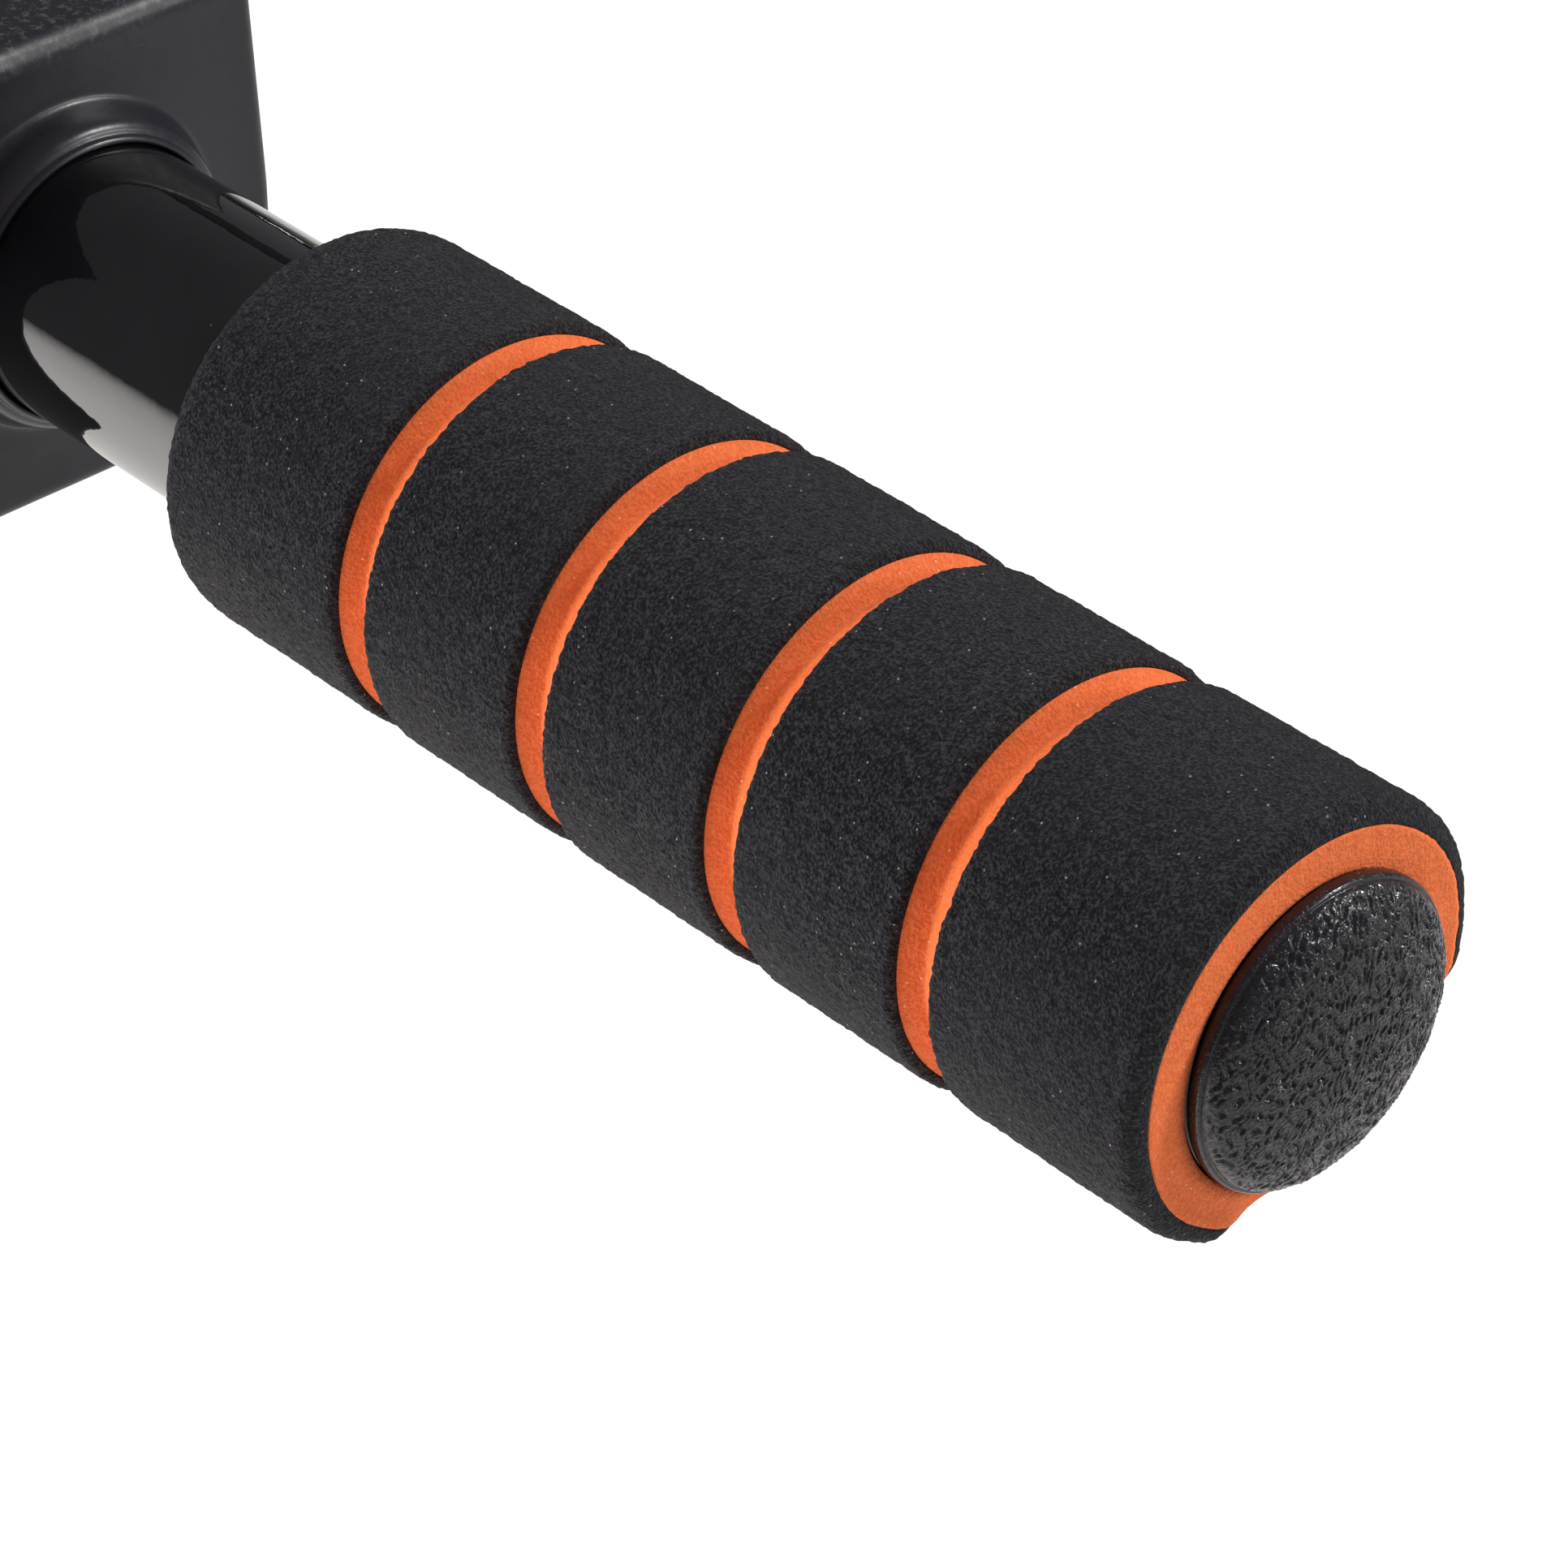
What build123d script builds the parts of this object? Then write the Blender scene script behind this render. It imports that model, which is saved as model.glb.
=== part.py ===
from build123d import *
import math
import os

# Over-the-door pull up bar, lever type, with wide, close and palms-facing grips.
# Millimetres. +X to the user's right, -Y towards the user, +Y through the doorway, +Z up.
# The origin is the middle of the underside of the ledge pad, where the bar rests on the top of the door trim.

os.makedirs("parts", exist_ok=True)

# ---- driving dimensions ----
TUBE_OD = 28.0             # every round tube
TUBE_WALL = 2.0
MAIN_HALF = 568.0          # half the length of the main tube
BAR_Y, BAR_Z = -175.0, -130.0   # axis of the main tube

GRIP_BANDS = (24.7, 19.2, 19.35, 18.4, 22.45)   # black bands, from the inner end out
GROOVE_W = 4.55            # width of each V groove at the surface
GRIP_R = 20.0              # outside of the black layer
SKIN_R = 19.07             # inside of the black layer
CORE_R = 19.05             # outside of the orange sleeve
GROOVE_R = 17.55           # bottom of the V
FOAM_BORE_R = 14.02

CAP_FLANGE_R = 14.25
CAP_RIM_T = 1.4            # height of the plug's rim off the tube end
CAP_DOME_T = 4.9           # height of its crown
CAP_STEM_R = 11.96

PAD_OUT_X = 405.8          # outer face of the right-hand door pad
PAD_LEN = 70.0
PAD_HALF_Y = 24.6
PAD_TOP, PAD_BOTTOM = 24.5, 25.1
PAD_BORE_R = 14.06         # slides on the tube
COLLAR_H = 4.9

ARM_X = 275.0              # axes of the two arms
ARM_Y = 35.0               # axis of an arm's upright part
ARM_TOP = 58.0
ARM_BEND_R = 60.0

HANDLE_X = 92.0            # axes of the palms-facing handles
HANDLE_BARE = 25.0         # bare tube between main tube and foam

SADDLE_T = 3.0
SADDLE_HALF = 31.0
SADDLE_BOLT_DX = 23.0

LEDGE_HALF = 320.0
LEDGE_T = 3.0
PAD_STRIP_T = 5.0          # rubber under the angle
LEDGE_FRONT = -14.5
LEDGE_BACK = 21.0
LEDGE_TOP = 48.0
LEDGE_BOLT_Z = (21.0, 39.0)

BOLT_R = 4.0               # M8
HOLE_R = 4.25
HEAD_AF, HEAD_H = 13.0, 5.3
NUT_AF, NUT_H = 13.0, 6.2
NUT_COLLAR_R, NUT_COLLAR_H = 5.6, 1.8

R = TUBE_OD / 2
RI = R - TUBE_WALL
GRIP_L = sum(GRIP_BANDS) + 4 * GROOVE_W


def save(name, shape):
    export_step(shape, f"parts/{name}.step")


def many(solids):
    """A group of separate solids as one shape."""
    return Compound(children=list(solids))


def rod(r, a, b, axis, c1, c2):
    """A round bar from a to b along an axis. c1, c2 are the other two coordinates in X, Y, Z order."""
    mid, length = (a + b) / 2, b - a
    if axis == "x":
        return Pos(mid, c1, c2) * (Rot(0, 90, 0) * Cylinder(r, length))
    if axis == "y":
        return Pos(c1, mid, c2) * (Rot(90, 0, 0) * Cylinder(r, length))
    return Pos(c1, c2, mid) * Cylinder(r, length)


def turned(points):
    """Turns a closed outline of (along, radius) points about local X."""
    face = make_face(Polyline(*[(a, r) for a, r in points], close=True))
    return revolve(face, Axis.X, 360)


def box(x0, x1, y0, y1, z0, z1):
    return Pos((x0 + x1) / 2, (y0 + y1) / 2, (z0 + z1) / 2) * Box(x1 - x0, y1 - y0, z1 - z0)


# Local X of a grip or plug runs outward along its tube. These place it on each tube end.
def on_right(start):
    return Pos(start, BAR_Y, BAR_Z)


def on_left(start):
    return Pos(-start, BAR_Y, BAR_Z) * Rot(0, 0, 180)


def on_handle(x, start_y):
    return Pos(x, start_y, BAR_Z) * Rot(0, 0, -90)


# ---- tubes ----
main = rod(R, -MAIN_HALF, MAIN_HALF, "x", BAR_Y, BAR_Z) - rod(RI, -MAIN_HALF - 1, MAIN_HALF + 1, "x", BAR_Y, BAR_Z)
saddle_bolt_x = [s * ARM_X + d for s in (-1, 1) for d in (-SADDLE_BOLT_DX, SADDLE_BOLT_DX)]
for bx in saddle_bolt_x:
    main -= rod(HOLE_R, BAR_Y - 30, BAR_Y + 30, "y", bx, BAR_Z)
save("main_tube", main)

handle_start = BAR_Y - R - HANDLE_BARE          # inner end of the foam
handle_end = handle_start - GRIP_L
for side, sx in (("left", -1), ("right", 1)):
    tube = rod(R, handle_end, BAR_Y - 4, "y", sx * HANDLE_X, BAR_Z)
    tube -= rod(RI, handle_end - 1, BAR_Y - 3, "y", sx * HANDLE_X, BAR_Z)
    # coped to sit on the main tube
    tube -= rod(R + 0.01, sx * HANDLE_X - 30, sx * HANDLE_X + 30, "x", BAR_Y, BAR_Z)
    save(f"handle_tube_{side}", tube)

    # Arm: upright behind the trim, one bend, then forward under the header to the saddle.
    x = sx * ARM_X
    path = FilletPolyline((x, ARM_Y, ARM_TOP), (x, ARM_Y, BAR_Z), (x, BAR_Y + 6, BAR_Z), radius=ARM_BEND_R)
    at_top = Plane(origin=(x, ARM_Y, ARM_TOP), x_dir=(1, 0, 0), z_dir=(0, 0, -1))
    arm = sweep(at_top * Circle(R), path=path) - sweep(at_top * Circle(RI), path=path)
    arm -= rod(R + SADDLE_T + 0.01, x - 40, x + 40, "x", BAR_Y, BAR_Z)
    for bz in LEDGE_BOLT_Z:
        arm -= rod(HOLE_R, ARM_Y - 30, ARM_Y + 30, "y", x, bz)
    save(f"arm_tube_{side}", arm)

    saddle = rod(R + SADDLE_T, x - SADDLE_HALF, x + SADDLE_HALF, "x", BAR_Y, BAR_Z)
    saddle -= rod(R + 0.02, x - 60, x + 60, "x", BAR_Y, BAR_Z)
    saddle &= box(x - SADDLE_HALF, x + SADDLE_HALF, BAR_Y + 4, BAR_Y + 30, BAR_Z - 30, BAR_Z + 30)
    for d in (-SADDLE_BOLT_DX, SADDLE_BOLT_DX):
        saddle -= rod(HOLE_R, BAR_Y, BAR_Y + 30, "y", x + d, BAR_Z)
    save(f"arm_saddle_{side}", saddle)


# ---- fasteners (each points along +Y) ----
def bolt(x, under_head, z, length):
    head = Pos(x, under_head - HEAD_H / 2, z) * (Rot(90, 0, 0) * extrude(RegularPolygon(HEAD_AF / 2, 6, major_radius=False), HEAD_H / 2, both=True))
    # corners of the hexagon turned off at the free face
    head &= Pos(x, under_head - HEAD_H / 2, z) * (Rot(90, 0, 0) * (Cylinder(7.6, HEAD_H) & Pos(0, 0, -2.2) * Cone(12.0, 6.4, HEAD_H + 4.4)))
    shank = rod(BOLT_R, under_head - 1, under_head + length, "y", x, z)
    tip = [e for e in shank.edges().filter_by(GeomType.CIRCLE) if abs(e.center().Y - under_head - length) < 1e-3]
    return head + chamfer(tip, 0.8)


def nut(x, seat, z):
    body = Pos(x, seat + NUT_H / 2, z) * (Rot(90, 0, 0) * extrude(RegularPolygon(NUT_AF / 2, 6, major_radius=False), NUT_H / 2, both=True))
    body += rod(NUT_COLLAR_R, seat + NUT_H - 0.5, seat + NUT_H + NUT_COLLAR_H, "y", x, z)
    return body - rod(BOLT_R + 0.02, seat - 1, seat + 20, "y", x, z)


def curved_washer(x, z, flat_y, toward, tube_axis, tube_c):
    """Square washer, hollowed to sit on a tube. flat_y is its flat face; toward is +1 if the tube lies to +Y."""
    a, b = sorted((flat_y, flat_y + toward * 6.0))
    w = box(x - 8, x + 8, a, b, z - 8, z + 8)
    w = fillet(w.edges().filter_by(Axis.Y), 1.5)
    if tube_axis == "x":
        w -= rod(R + 0.01, x - 20, x + 20, "x", tube_c, BAR_Z)
    else:
        w -= rod(R + 0.01, z - 20, z + 20, "z", x, tube_c)
    return w - rod(HOLE_R, a - 5, b + 5, "y", x, z)


CROWN = 1.5
head_seat = BAR_Y - R - CROWN
save("saddle_bolts", many(bolt(bx, head_seat, BAR_Z, 45) for bx in saddle_bolt_x))
save("saddle_curved_washers", many(curved_washer(bx, BAR_Z, head_seat, 1, "x", BAR_Y) for bx in saddle_bolt_x))
rear_seat = BAR_Y + R + SADDLE_T + 0.01
save("saddle_flat_washers", many(
    rod(8.0, rear_seat, rear_seat + 1.6, "y", bx, BAR_Z) - rod(HOLE_R, rear_seat - 1, rear_seat + 3, "y", bx, BAR_Z)
    for bx in saddle_bolt_x))
save("saddle_lock_nuts", many(nut(bx, rear_seat + 1.6, BAR_Z) for bx in saddle_bolt_x))

ledge_bolt_at = [(s * ARM_X, z) for s in (-1, 1) for z in LEDGE_BOLT_Z]
ledge_head = LEDGE_BACK - LEDGE_T
arm_back = ARM_Y + R + CROWN
save("ledge_bolts", many(bolt(x, ledge_head, z, 45) for x, z in ledge_bolt_at))
save("ledge_curved_washers", many(curved_washer(x, z, arm_back, -1, "z", ARM_Y) for x, z in ledge_bolt_at))
save("ledge_lock_nuts", many(nut(x, arm_back, z) for x, z in ledge_bolt_at))

# ---- ledge ----
z0 = PAD_STRIP_T
along_x = Plane(origin=(0, 0, 0), x_dir=(0, 1, 0), z_dir=(1, 0, 0))


def angle_section(grow):
    """The steel angle's section in Y, Z, grown outward by grow all round."""
    pts = [(LEDGE_FRONT - grow, z0 - grow), (LEDGE_BACK + grow, z0 - grow), (LEDGE_BACK + grow, LEDGE_TOP + grow),
           (LEDGE_BACK - LEDGE_T - grow, LEDGE_TOP + grow), (LEDGE_BACK - LEDGE_T - grow, z0 + LEDGE_T + grow),
           (LEDGE_FRONT - grow, z0 + LEDGE_T + grow)]
    return make_face(Polyline(*pts, close=True))


def bar_of(section, xa, xb):
    return extrude(Plane(origin=(xa, 0, 0), x_dir=(0, 1, 0), z_dir=(1, 0, 0)) * section, xb - xa)


angle = bar_of(angle_section(0), -LEDGE_HALF, LEDGE_HALF)
inner = [e for e in angle.edges().filter_by(Axis.X) if abs(e.center().Y - (LEDGE_BACK - LEDGE_T)) < 0.1 and abs(e.center().Z - (z0 + LEDGE_T)) < 0.1]
outer = [e for e in angle.edges().filter_by(Axis.X) if abs(e.center().Y - LEDGE_BACK) < 0.1 and abs(e.center().Z - z0) < 0.1]
angle = fillet(inner, 2.5)
outer = [e for e in angle.edges().filter_by(Axis.X) if abs(e.center().Y - LEDGE_BACK) < 0.1 and abs(e.center().Z - z0) < 0.1]
angle = fillet(outer, 2.0)
for x, z in ledge_bolt_at:
    angle -= rod(HOLE_R, LEDGE_BACK - 10, LEDGE_BACK + 5, "y", x, z)
save("ledge_angle", angle)

strip_pts = [(-17.5, 0), (17.5, 0), (17.5, z0 - 0.02), (LEDGE_FRONT - 0.02, z0 - 0.02), (LEDGE_FRONT - 0.02, z0 + LEDGE_T + 0.02),
             (-6.5, z0 + LEDGE_T + 0.02), (-6.5, z0 + LEDGE_T + 2.5), (-17.5, z0 + LEDGE_T + 2.5)]
strip = bar_of(make_face(Polyline(*strip_pts, close=True)), -300, 300)
corner = [e for e in strip.edges().filter_by(Axis.X) if abs(e.center().Y + 17.5) < 0.1]
strip = fillet(corner, 1.6)
save("ledge_pad", strip)

for side, sx in (("left", -1), ("right", 1)):
    a, b = sorted((sx * (LEDGE_HALF - 18), sx * (LEDGE_HALF + 2)))
    ca, cb = sorted((sx * (LEDGE_HALF - 19), sx * (LEDGE_HALF + 0.02)))
    cap = bar_of(angle_section(2.0), a, b)
    ends = [e for e in cap.edges() if abs(e.center().X - sx * (LEDGE_HALF + 2)) < 0.01]
    cap = chamfer(ends, 0.7)
    cap -= bar_of(angle_section(0.03), ca, cb)
    cap -= angle
    save(f"ledge_end_cap_{side}", cap)


# ---- plugs ----
def plug():
    stem_in = CAP_STEM_R - 1.8
    pts = [(-14, stem_in), (-14, CAP_STEM_R - 0.8), (-12.5, CAP_STEM_R), (0.02, CAP_STEM_R), (0.02, CAP_FLANGE_R - 0.1),
           (0.25, CAP_FLANGE_R), (CAP_RIM_T - 0.5, CAP_FLANGE_R), (CAP_RIM_T - 0.15, CAP_FLANGE_R - 0.15),
           (CAP_RIM_T, CAP_FLANGE_R - 0.45)]
    rise, reach = CAP_DOME_T - CAP_RIM_T, CAP_FLANGE_R - 0.45      # the crown is a low half ellipsoid with full shoulders
    pts += [(CAP_RIM_T + rise * (1 - (r / reach) ** 2) ** 0.5, r) for r in (13.6, 13.2, 12.5, 11.4, 10.0, 8.2, 6.2, 4.2, 2.1)]
    pts += [(CAP_DOME_T, 0), (-0.6, 0), (-0.6, stem_in)]
    return turned(pts)


save("end_cap_right", on_right(MAIN_HALF) * plug())
save("end_cap_left", on_left(MAIN_HALF) * plug())
for side, sx in (("left", -1), ("right", 1)):
    save(f"handle_cap_{side}", on_handle(sx * HANDLE_X, handle_end) * plug())
    save(f"arm_cap_{side}", Pos(sx * ARM_X, ARM_Y, ARM_TOP) * (Rot(0, -90, 0) * plug()))


# ---- foam grips ----
def grip():
    core = [(0, FOAM_BORE_R), (0, CORE_R - 0.4), (0.4, CORE_R)]
    rings = []
    x = 0.0
    for i, band in enumerate(GRIP_BANDS):
        a, b = x, x + band
        first, last = i == 0, i == len(GRIP_BANDS) - 1
        ring = []
        if first:
            ring += [(a, CORE_R - 0.38), (a, GRIP_R - 1.05), (a + 0.3, GRIP_R - 0.45), (a + 1.1, GRIP_R)]
        else:
            ring += [(a, SKIN_R), (a, GRIP_R - 0.3), (a + 0.3, GRIP_R)]
        if last:
            ring += [(b - 1.1, GRIP_R), (b - 0.3, GRIP_R - 0.45), (b, GRIP_R - 1.05), (b, CORE_R - 0.38), (b - 0.42, SKIN_R)]
        else:
            ring += [(b - 0.3, GRIP_R), (b, GRIP_R - 0.3), (b, SKIN_R)]
        if first:
            ring += [(a + 0.42, SKIN_R)]
        rings.append(turned(ring))
        if not last:
            core += [(b, CORE_R), (b + GROOVE_W / 2 - 0.35, GROOVE_R + 0.1), (b + GROOVE_W / 2, GROOVE_R),
                     (b + GROOVE_W / 2 + 0.35, GROOVE_R + 0.1), (b + GROOVE_W, CORE_R)]
        x = b + GROOVE_W
    core += [(GRIP_L - 0.4, CORE_R), (GRIP_L, CORE_R - 0.4), (GRIP_L, FOAM_BORE_R)]
    return turned(core), rings


INNER_START = HANDLE_X + R + 4.0
wide_start = MAIN_HALF - GRIP_L
places = {
    "wide_grip_{}_right": on_right(wide_start),
    "wide_grip_{}_left": on_left(wide_start),
    "inner_grip_{}_right": on_right(INNER_START),
    "inner_grip_{}_left": on_left(INNER_START),
    "handle_grip_{}_right": on_handle(HANDLE_X, handle_start),
    "handle_grip_{}_left": on_handle(-HANDLE_X, handle_start),
}
core, rings = grip()
for name, place in places.items():
    save(name.format("core"), place * core)
    save(name.format("skin"), many(place * r for r in rings))


# ---- door pads ----
def door_pad(sx):
    xo, xi = PAD_OUT_X, PAD_OUT_X - PAD_LEN
    block = box(xi, xo, BAR_Y - PAD_HALF_Y, BAR_Y + PAD_HALF_Y, BAR_Z - PAD_BOTTOM, BAR_Z + PAD_TOP)
    block = fillet(block.edges().filter_by(Axis.X), 3.0)
    block = fillet(block.faces().filter_by(Axis.X).edges(), 1.8)
    collar = [(-1, 0), (-1, 17.6), (0.0, 17.6), (0.25, 17.1), (0.8, 16.7), (1.8, 16.4), (2.8, 16.1), (3.6, 15.7), (4.0, 15.2),
              (4.15, 14.95), (4.6, 14.85), (COLLAR_H, 14.6), (COLLAR_H, 0)]
    block += on_right(xo) * turned(collar)
    block += Pos(xi, BAR_Y, BAR_Z) * Rot(0, 0, 180) * turned(collar)
    block -= rod(PAD_BORE_R, xi - 20, xo + 20, "x", BAR_Y, BAR_Z)
    return block if sx > 0 else Rot(0, 0, 180) * (Pos(0, -2 * BAR_Y, 0) * block)


right_pad = door_pad(1)
save("door_pad_right", right_pad)
save("door_pad_left", mirror(right_pad, Plane.YZ))
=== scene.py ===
import math

import bmesh
import bpy
import numpy as np
from mathutils import Matrix, Vector


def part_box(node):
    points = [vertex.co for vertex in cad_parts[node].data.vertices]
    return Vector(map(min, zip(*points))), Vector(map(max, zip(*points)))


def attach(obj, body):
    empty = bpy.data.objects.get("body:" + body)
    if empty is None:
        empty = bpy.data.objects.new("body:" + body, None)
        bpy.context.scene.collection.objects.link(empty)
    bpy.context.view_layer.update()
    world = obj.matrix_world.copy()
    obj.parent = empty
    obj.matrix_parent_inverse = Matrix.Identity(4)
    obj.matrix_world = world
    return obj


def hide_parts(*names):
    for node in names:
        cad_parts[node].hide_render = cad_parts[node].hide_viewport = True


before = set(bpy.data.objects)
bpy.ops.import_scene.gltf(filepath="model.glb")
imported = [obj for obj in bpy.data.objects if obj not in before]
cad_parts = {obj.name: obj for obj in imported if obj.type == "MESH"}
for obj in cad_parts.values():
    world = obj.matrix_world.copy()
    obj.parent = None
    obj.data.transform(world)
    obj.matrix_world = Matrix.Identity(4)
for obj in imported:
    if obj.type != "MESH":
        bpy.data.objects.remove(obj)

for spare in ("Cube", "Light", "Camera"):          # the start-up file's own objects
    if spare in bpy.data.objects:
        bpy.data.objects.remove(bpy.data.objects[spare], do_unlink=True)
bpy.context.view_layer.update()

# ------------------------------------------------------------------ numbers from the frame, in mm
def mmbox(node):
    lo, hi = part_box(node)
    return np.array(lo) * 1000.0, np.array(hi) * 1000.0


_lo, _hi = mmbox("main_tube")
BAR_Y, BAR_Z = (_lo[1] + _hi[1]) / 2, (_lo[2] + _hi[2]) / 2
R = (_hi[2] - _lo[2]) / 2
RI = R - 2.0
MAIN_HALF = _hi[0]
_lo, _hi = mmbox("wide_grip_core_right")
GRIP_L = _hi[0] - _lo[0]
WIDE_START = _lo[0]
INNER_START = mmbox("inner_grip_core_right")[0][0]
_lo, _hi = mmbox("handle_tube_right")
HANDLE_X = (_lo[0] + _hi[0]) / 2
HANDLE_END = _lo[1]
HANDLE_START = HANDLE_END + GRIP_L
_lo, _hi = mmbox("arm_tube_right")
ARM_X, ARM_Y, ARM_TOP = (_lo[0] + _hi[0]) / 2, _hi[1] - R, _hi[2]
ARM_BEND = 60.0
_lo, _hi = mmbox("arm_saddle_right")
SADDLE_HALF, SADDLE_R = (_hi[0] - _lo[0]) / 2, _hi[1] - BAR_Y
BANDS = (24.7, 19.2, 19.35, 18.4, 22.45)
GROOVE = 4.55
_lo, _hi = mmbox("door_pad_right")
COLLAR_H = 4.9
PAD_X0, PAD_X1 = _lo[0] + COLLAR_H, _hi[0] - COLLAR_H
PAD_HY = (_hi[1] - _lo[1]) / 2
PAD_TOP, PAD_BOT = _hi[2] - BAR_Z, BAR_Z - _lo[2]

# ------------------------------------------------------------------ mesh helpers (everything in mm until it is made)
def _hash(ix, iy, iz, seed):
    h = (ix * 73856093) ^ (iy * 19349663) ^ (iz * 83492791) ^ (seed * 2654435761)
    h &= 0xFFFFFFFF
    h = (h ^ (h >> 13)) * 1274126177 & 0xFFFFFFFF
    h = (h ^ (h >> 16)) * 2246822519 & 0xFFFFFFFF
    h ^= h >> 15
    return (h & 0xFFFFFF) / float(0x7FFFFF) - 1.0


def vnoise(p, seed=0):
    i = np.floor(p).astype(np.int64)
    f = p - i
    u = f * f * f * (f * (f * 6 - 15) + 10)
    out = 0
    for dx in (0, 1):
        for dy in (0, 1):
            for dz in (0, 1):
                w = (u[:, 0] if dx else 1 - u[:, 0]) * (u[:, 1] if dy else 1 - u[:, 1]) * (u[:, 2] if dz else 1 - u[:, 2])
                out = out + w * _hash(i[:, 0] + dx, i[:, 1] + dy, i[:, 2] + dz, seed)
    return out


def fbm(p, octaves=3, seed=0, gain=0.55):
    total, amp, norm = 0, 1.0, 0
    for k in range(octaves):
        total = total + amp * vnoise(p * (2.03 ** k), seed + 17 * k)
        norm += amp
        amp *= gain
    return total / norm


def place(origin, x_dir, y_dir, z_dir):
    m = np.eye(4)
    m[:3, 0], m[:3, 1], m[:3, 2], m[:3, 3] = x_dir, y_dir, z_dir, origin
    return m


def on_right(start):
    return place((start, BAR_Y, BAR_Z), (1, 0, 0), (0, 1, 0), (0, 0, 1))


def on_left(start):
    return place((-start, BAR_Y, BAR_Z), (-1, 0, 0), (0, -1, 0), (0, 0, 1))


def on_handle(x, start_y):
    return place((x, start_y, BAR_Z), (0, -1, 0), (1, 0, 0), (0, 0, 1))


def on_arm(x, z):
    return place((x, ARM_Y, z), (0, 0, 1), (0, 1, 0), (-1, 0, 0))


class Build:
    """Collects closed grids of points into one mesh."""

    def __init__(self):
        self.v, self.f, self.n = [], [], 0

    def _take(self, pts):
        start = self.n
        self.v.append(np.asarray(pts, float).reshape(-1, 3))
        self.n += len(self.v[-1])
        return start

    def torus(self, grid):
        """grid (rows, columns, 3), closed both ways."""
        nu, nv = grid.shape[:2]
        s = self._take(grid)
        i, j = np.meshgrid(np.arange(nu), np.arange(nv), indexing="ij")
        a, b = s + i * nv + j, s + ((i + 1) % nu) * nv + j
        c, d = s + ((i + 1) % nu) * nv + (j + 1) % nv, s + i * nv + (j + 1) % nv
        self.f += np.stack([a, b, c, d], -1).reshape(-1, 4).tolist()

    def barrel(self, grid, first, last):
        """grid closed along its columns, with each end closed by a fan to a point."""
        nu, nv = grid.shape[:2]
        s = self._take(grid)
        p = self._take([first, last])
        i, j = np.meshgrid(np.arange(nu - 1), np.arange(nv), indexing="ij")
        a, b = s + i * nv + j, s + (i + 1) * nv + j
        c, d = s + (i + 1) * nv + (j + 1) % nv, s + i * nv + (j + 1) % nv
        self.f += np.stack([a, b, c, d], -1).reshape(-1, 4).tolist()
        for k in range(nv):
            self.f.append([p, s + k, s + (k + 1) % nv])
            self.f.append([p + 1, s + (nu - 1) * nv + (k + 1) % nv, s + (nu - 1) * nv + k])

    def object(self, name, mat, body, slot, nodes, sharp=None):
        me = bpy.data.meshes.new(name)
        me.from_pydata((np.concatenate(self.v) / 1000.0).tolist(), [], self.f)
        bm = bmesh.new()
        bm.from_mesh(me)
        bmesh.ops.recalc_face_normals(bm, faces=bm.faces)
        bm.to_mesh(me)
        bm.free()
        me.shade_smooth()
        if sharp:
            me.set_sharp_from_angle(angle=math.radians(sharp))
        me.materials.append(mat)
        ob = bpy.data.objects.new(name, me)
        bpy.context.scene.collection.objects.link(ob)
        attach(ob, body)
        if nodes:
            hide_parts(*nodes)
        return ob


def to_world(m, pts):
    pts = np.asarray(pts, float)
    return pts @ m[:3, :3].T + m[:3, 3]


def ring_angles(n):
    return np.linspace(0, 2 * math.pi, n, endpoint=False)


def spin(profile, n):
    """(points, n, 3) grid of local points from an (along, radius) profile."""
    pr = np.asarray(profile, float)
    t = ring_angles(n)
    a, r = pr[:, :1], pr[:, 1:]
    g = np.stack([np.broadcast_to(a, (len(pr), n)), r * np.sin(t)[None], r * np.cos(t)[None]], -1)
    return g


def profile_normals(pr, closed):
    pr = np.asarray(pr, float)
    if closed:
        d = np.roll(pr, -1, 0) - np.roll(pr, 1, 0)
    else:
        d = np.gradient(pr, axis=0)
    nrm = np.stack([-d[:, 1], d[:, 0]], -1)
    return nrm / np.maximum(np.linalg.norm(nrm, axis=1, keepdims=True), 1e-9)


def bump_out(grid, pr, closed, amount, n):
    """Moves the grid's points along the turned surface's normal by amount (rows, n). Profiles run with the metal on their right."""
    nrm = profile_normals(pr, closed)
    t = ring_angles(n)
    out = np.stack([np.broadcast_to(nrm[:, :1], (len(nrm), n)), nrm[:, 1:] * np.sin(t)[None], nrm[:, 1:] * np.cos(t)[None]], -1)
    return grid + out * amount[..., None]


def dense(points, step):
    """Adds points along the straight runs of an outline so that none is longer than step."""
    out = [points[0]]
    for a, b in zip(points, points[1:]):
        k = max(1, int(math.ceil(math.dist(a, b) / step)))
        out += [(a[0] + (b[0] - a[0]) * i / k, a[1] + (b[1] - a[1]) * i / k) for i in range(1, k + 1)]
    return out


def quarter(a0, r0, w, h, start, stop, n):
    """Points of an ellipse centred on (a0, r0): angle 0 is straight out, 90 is along +a."""
    return [(a0 + w * math.sin(math.radians(x)), r0 + h * math.cos(math.radians(x))) for x in np.linspace(start, stop, n)]


def field(n, size, lam, seed, spread=0.35):
    """A square of band-passed noise, lam mm between its features, standard deviation 1."""
    rng = np.random.default_rng(seed)
    w = rng.standard_normal((n, n))
    k = np.hypot(*np.meshgrid(np.fft.fftfreq(n, size / n), np.fft.fftfreq(n, size / n)))
    band = np.exp(-((k * lam - 1) / spread) ** 2)
    g = np.real(np.fft.ifft2(np.fft.fft2(w) * band))
    return g / g.std()


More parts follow.
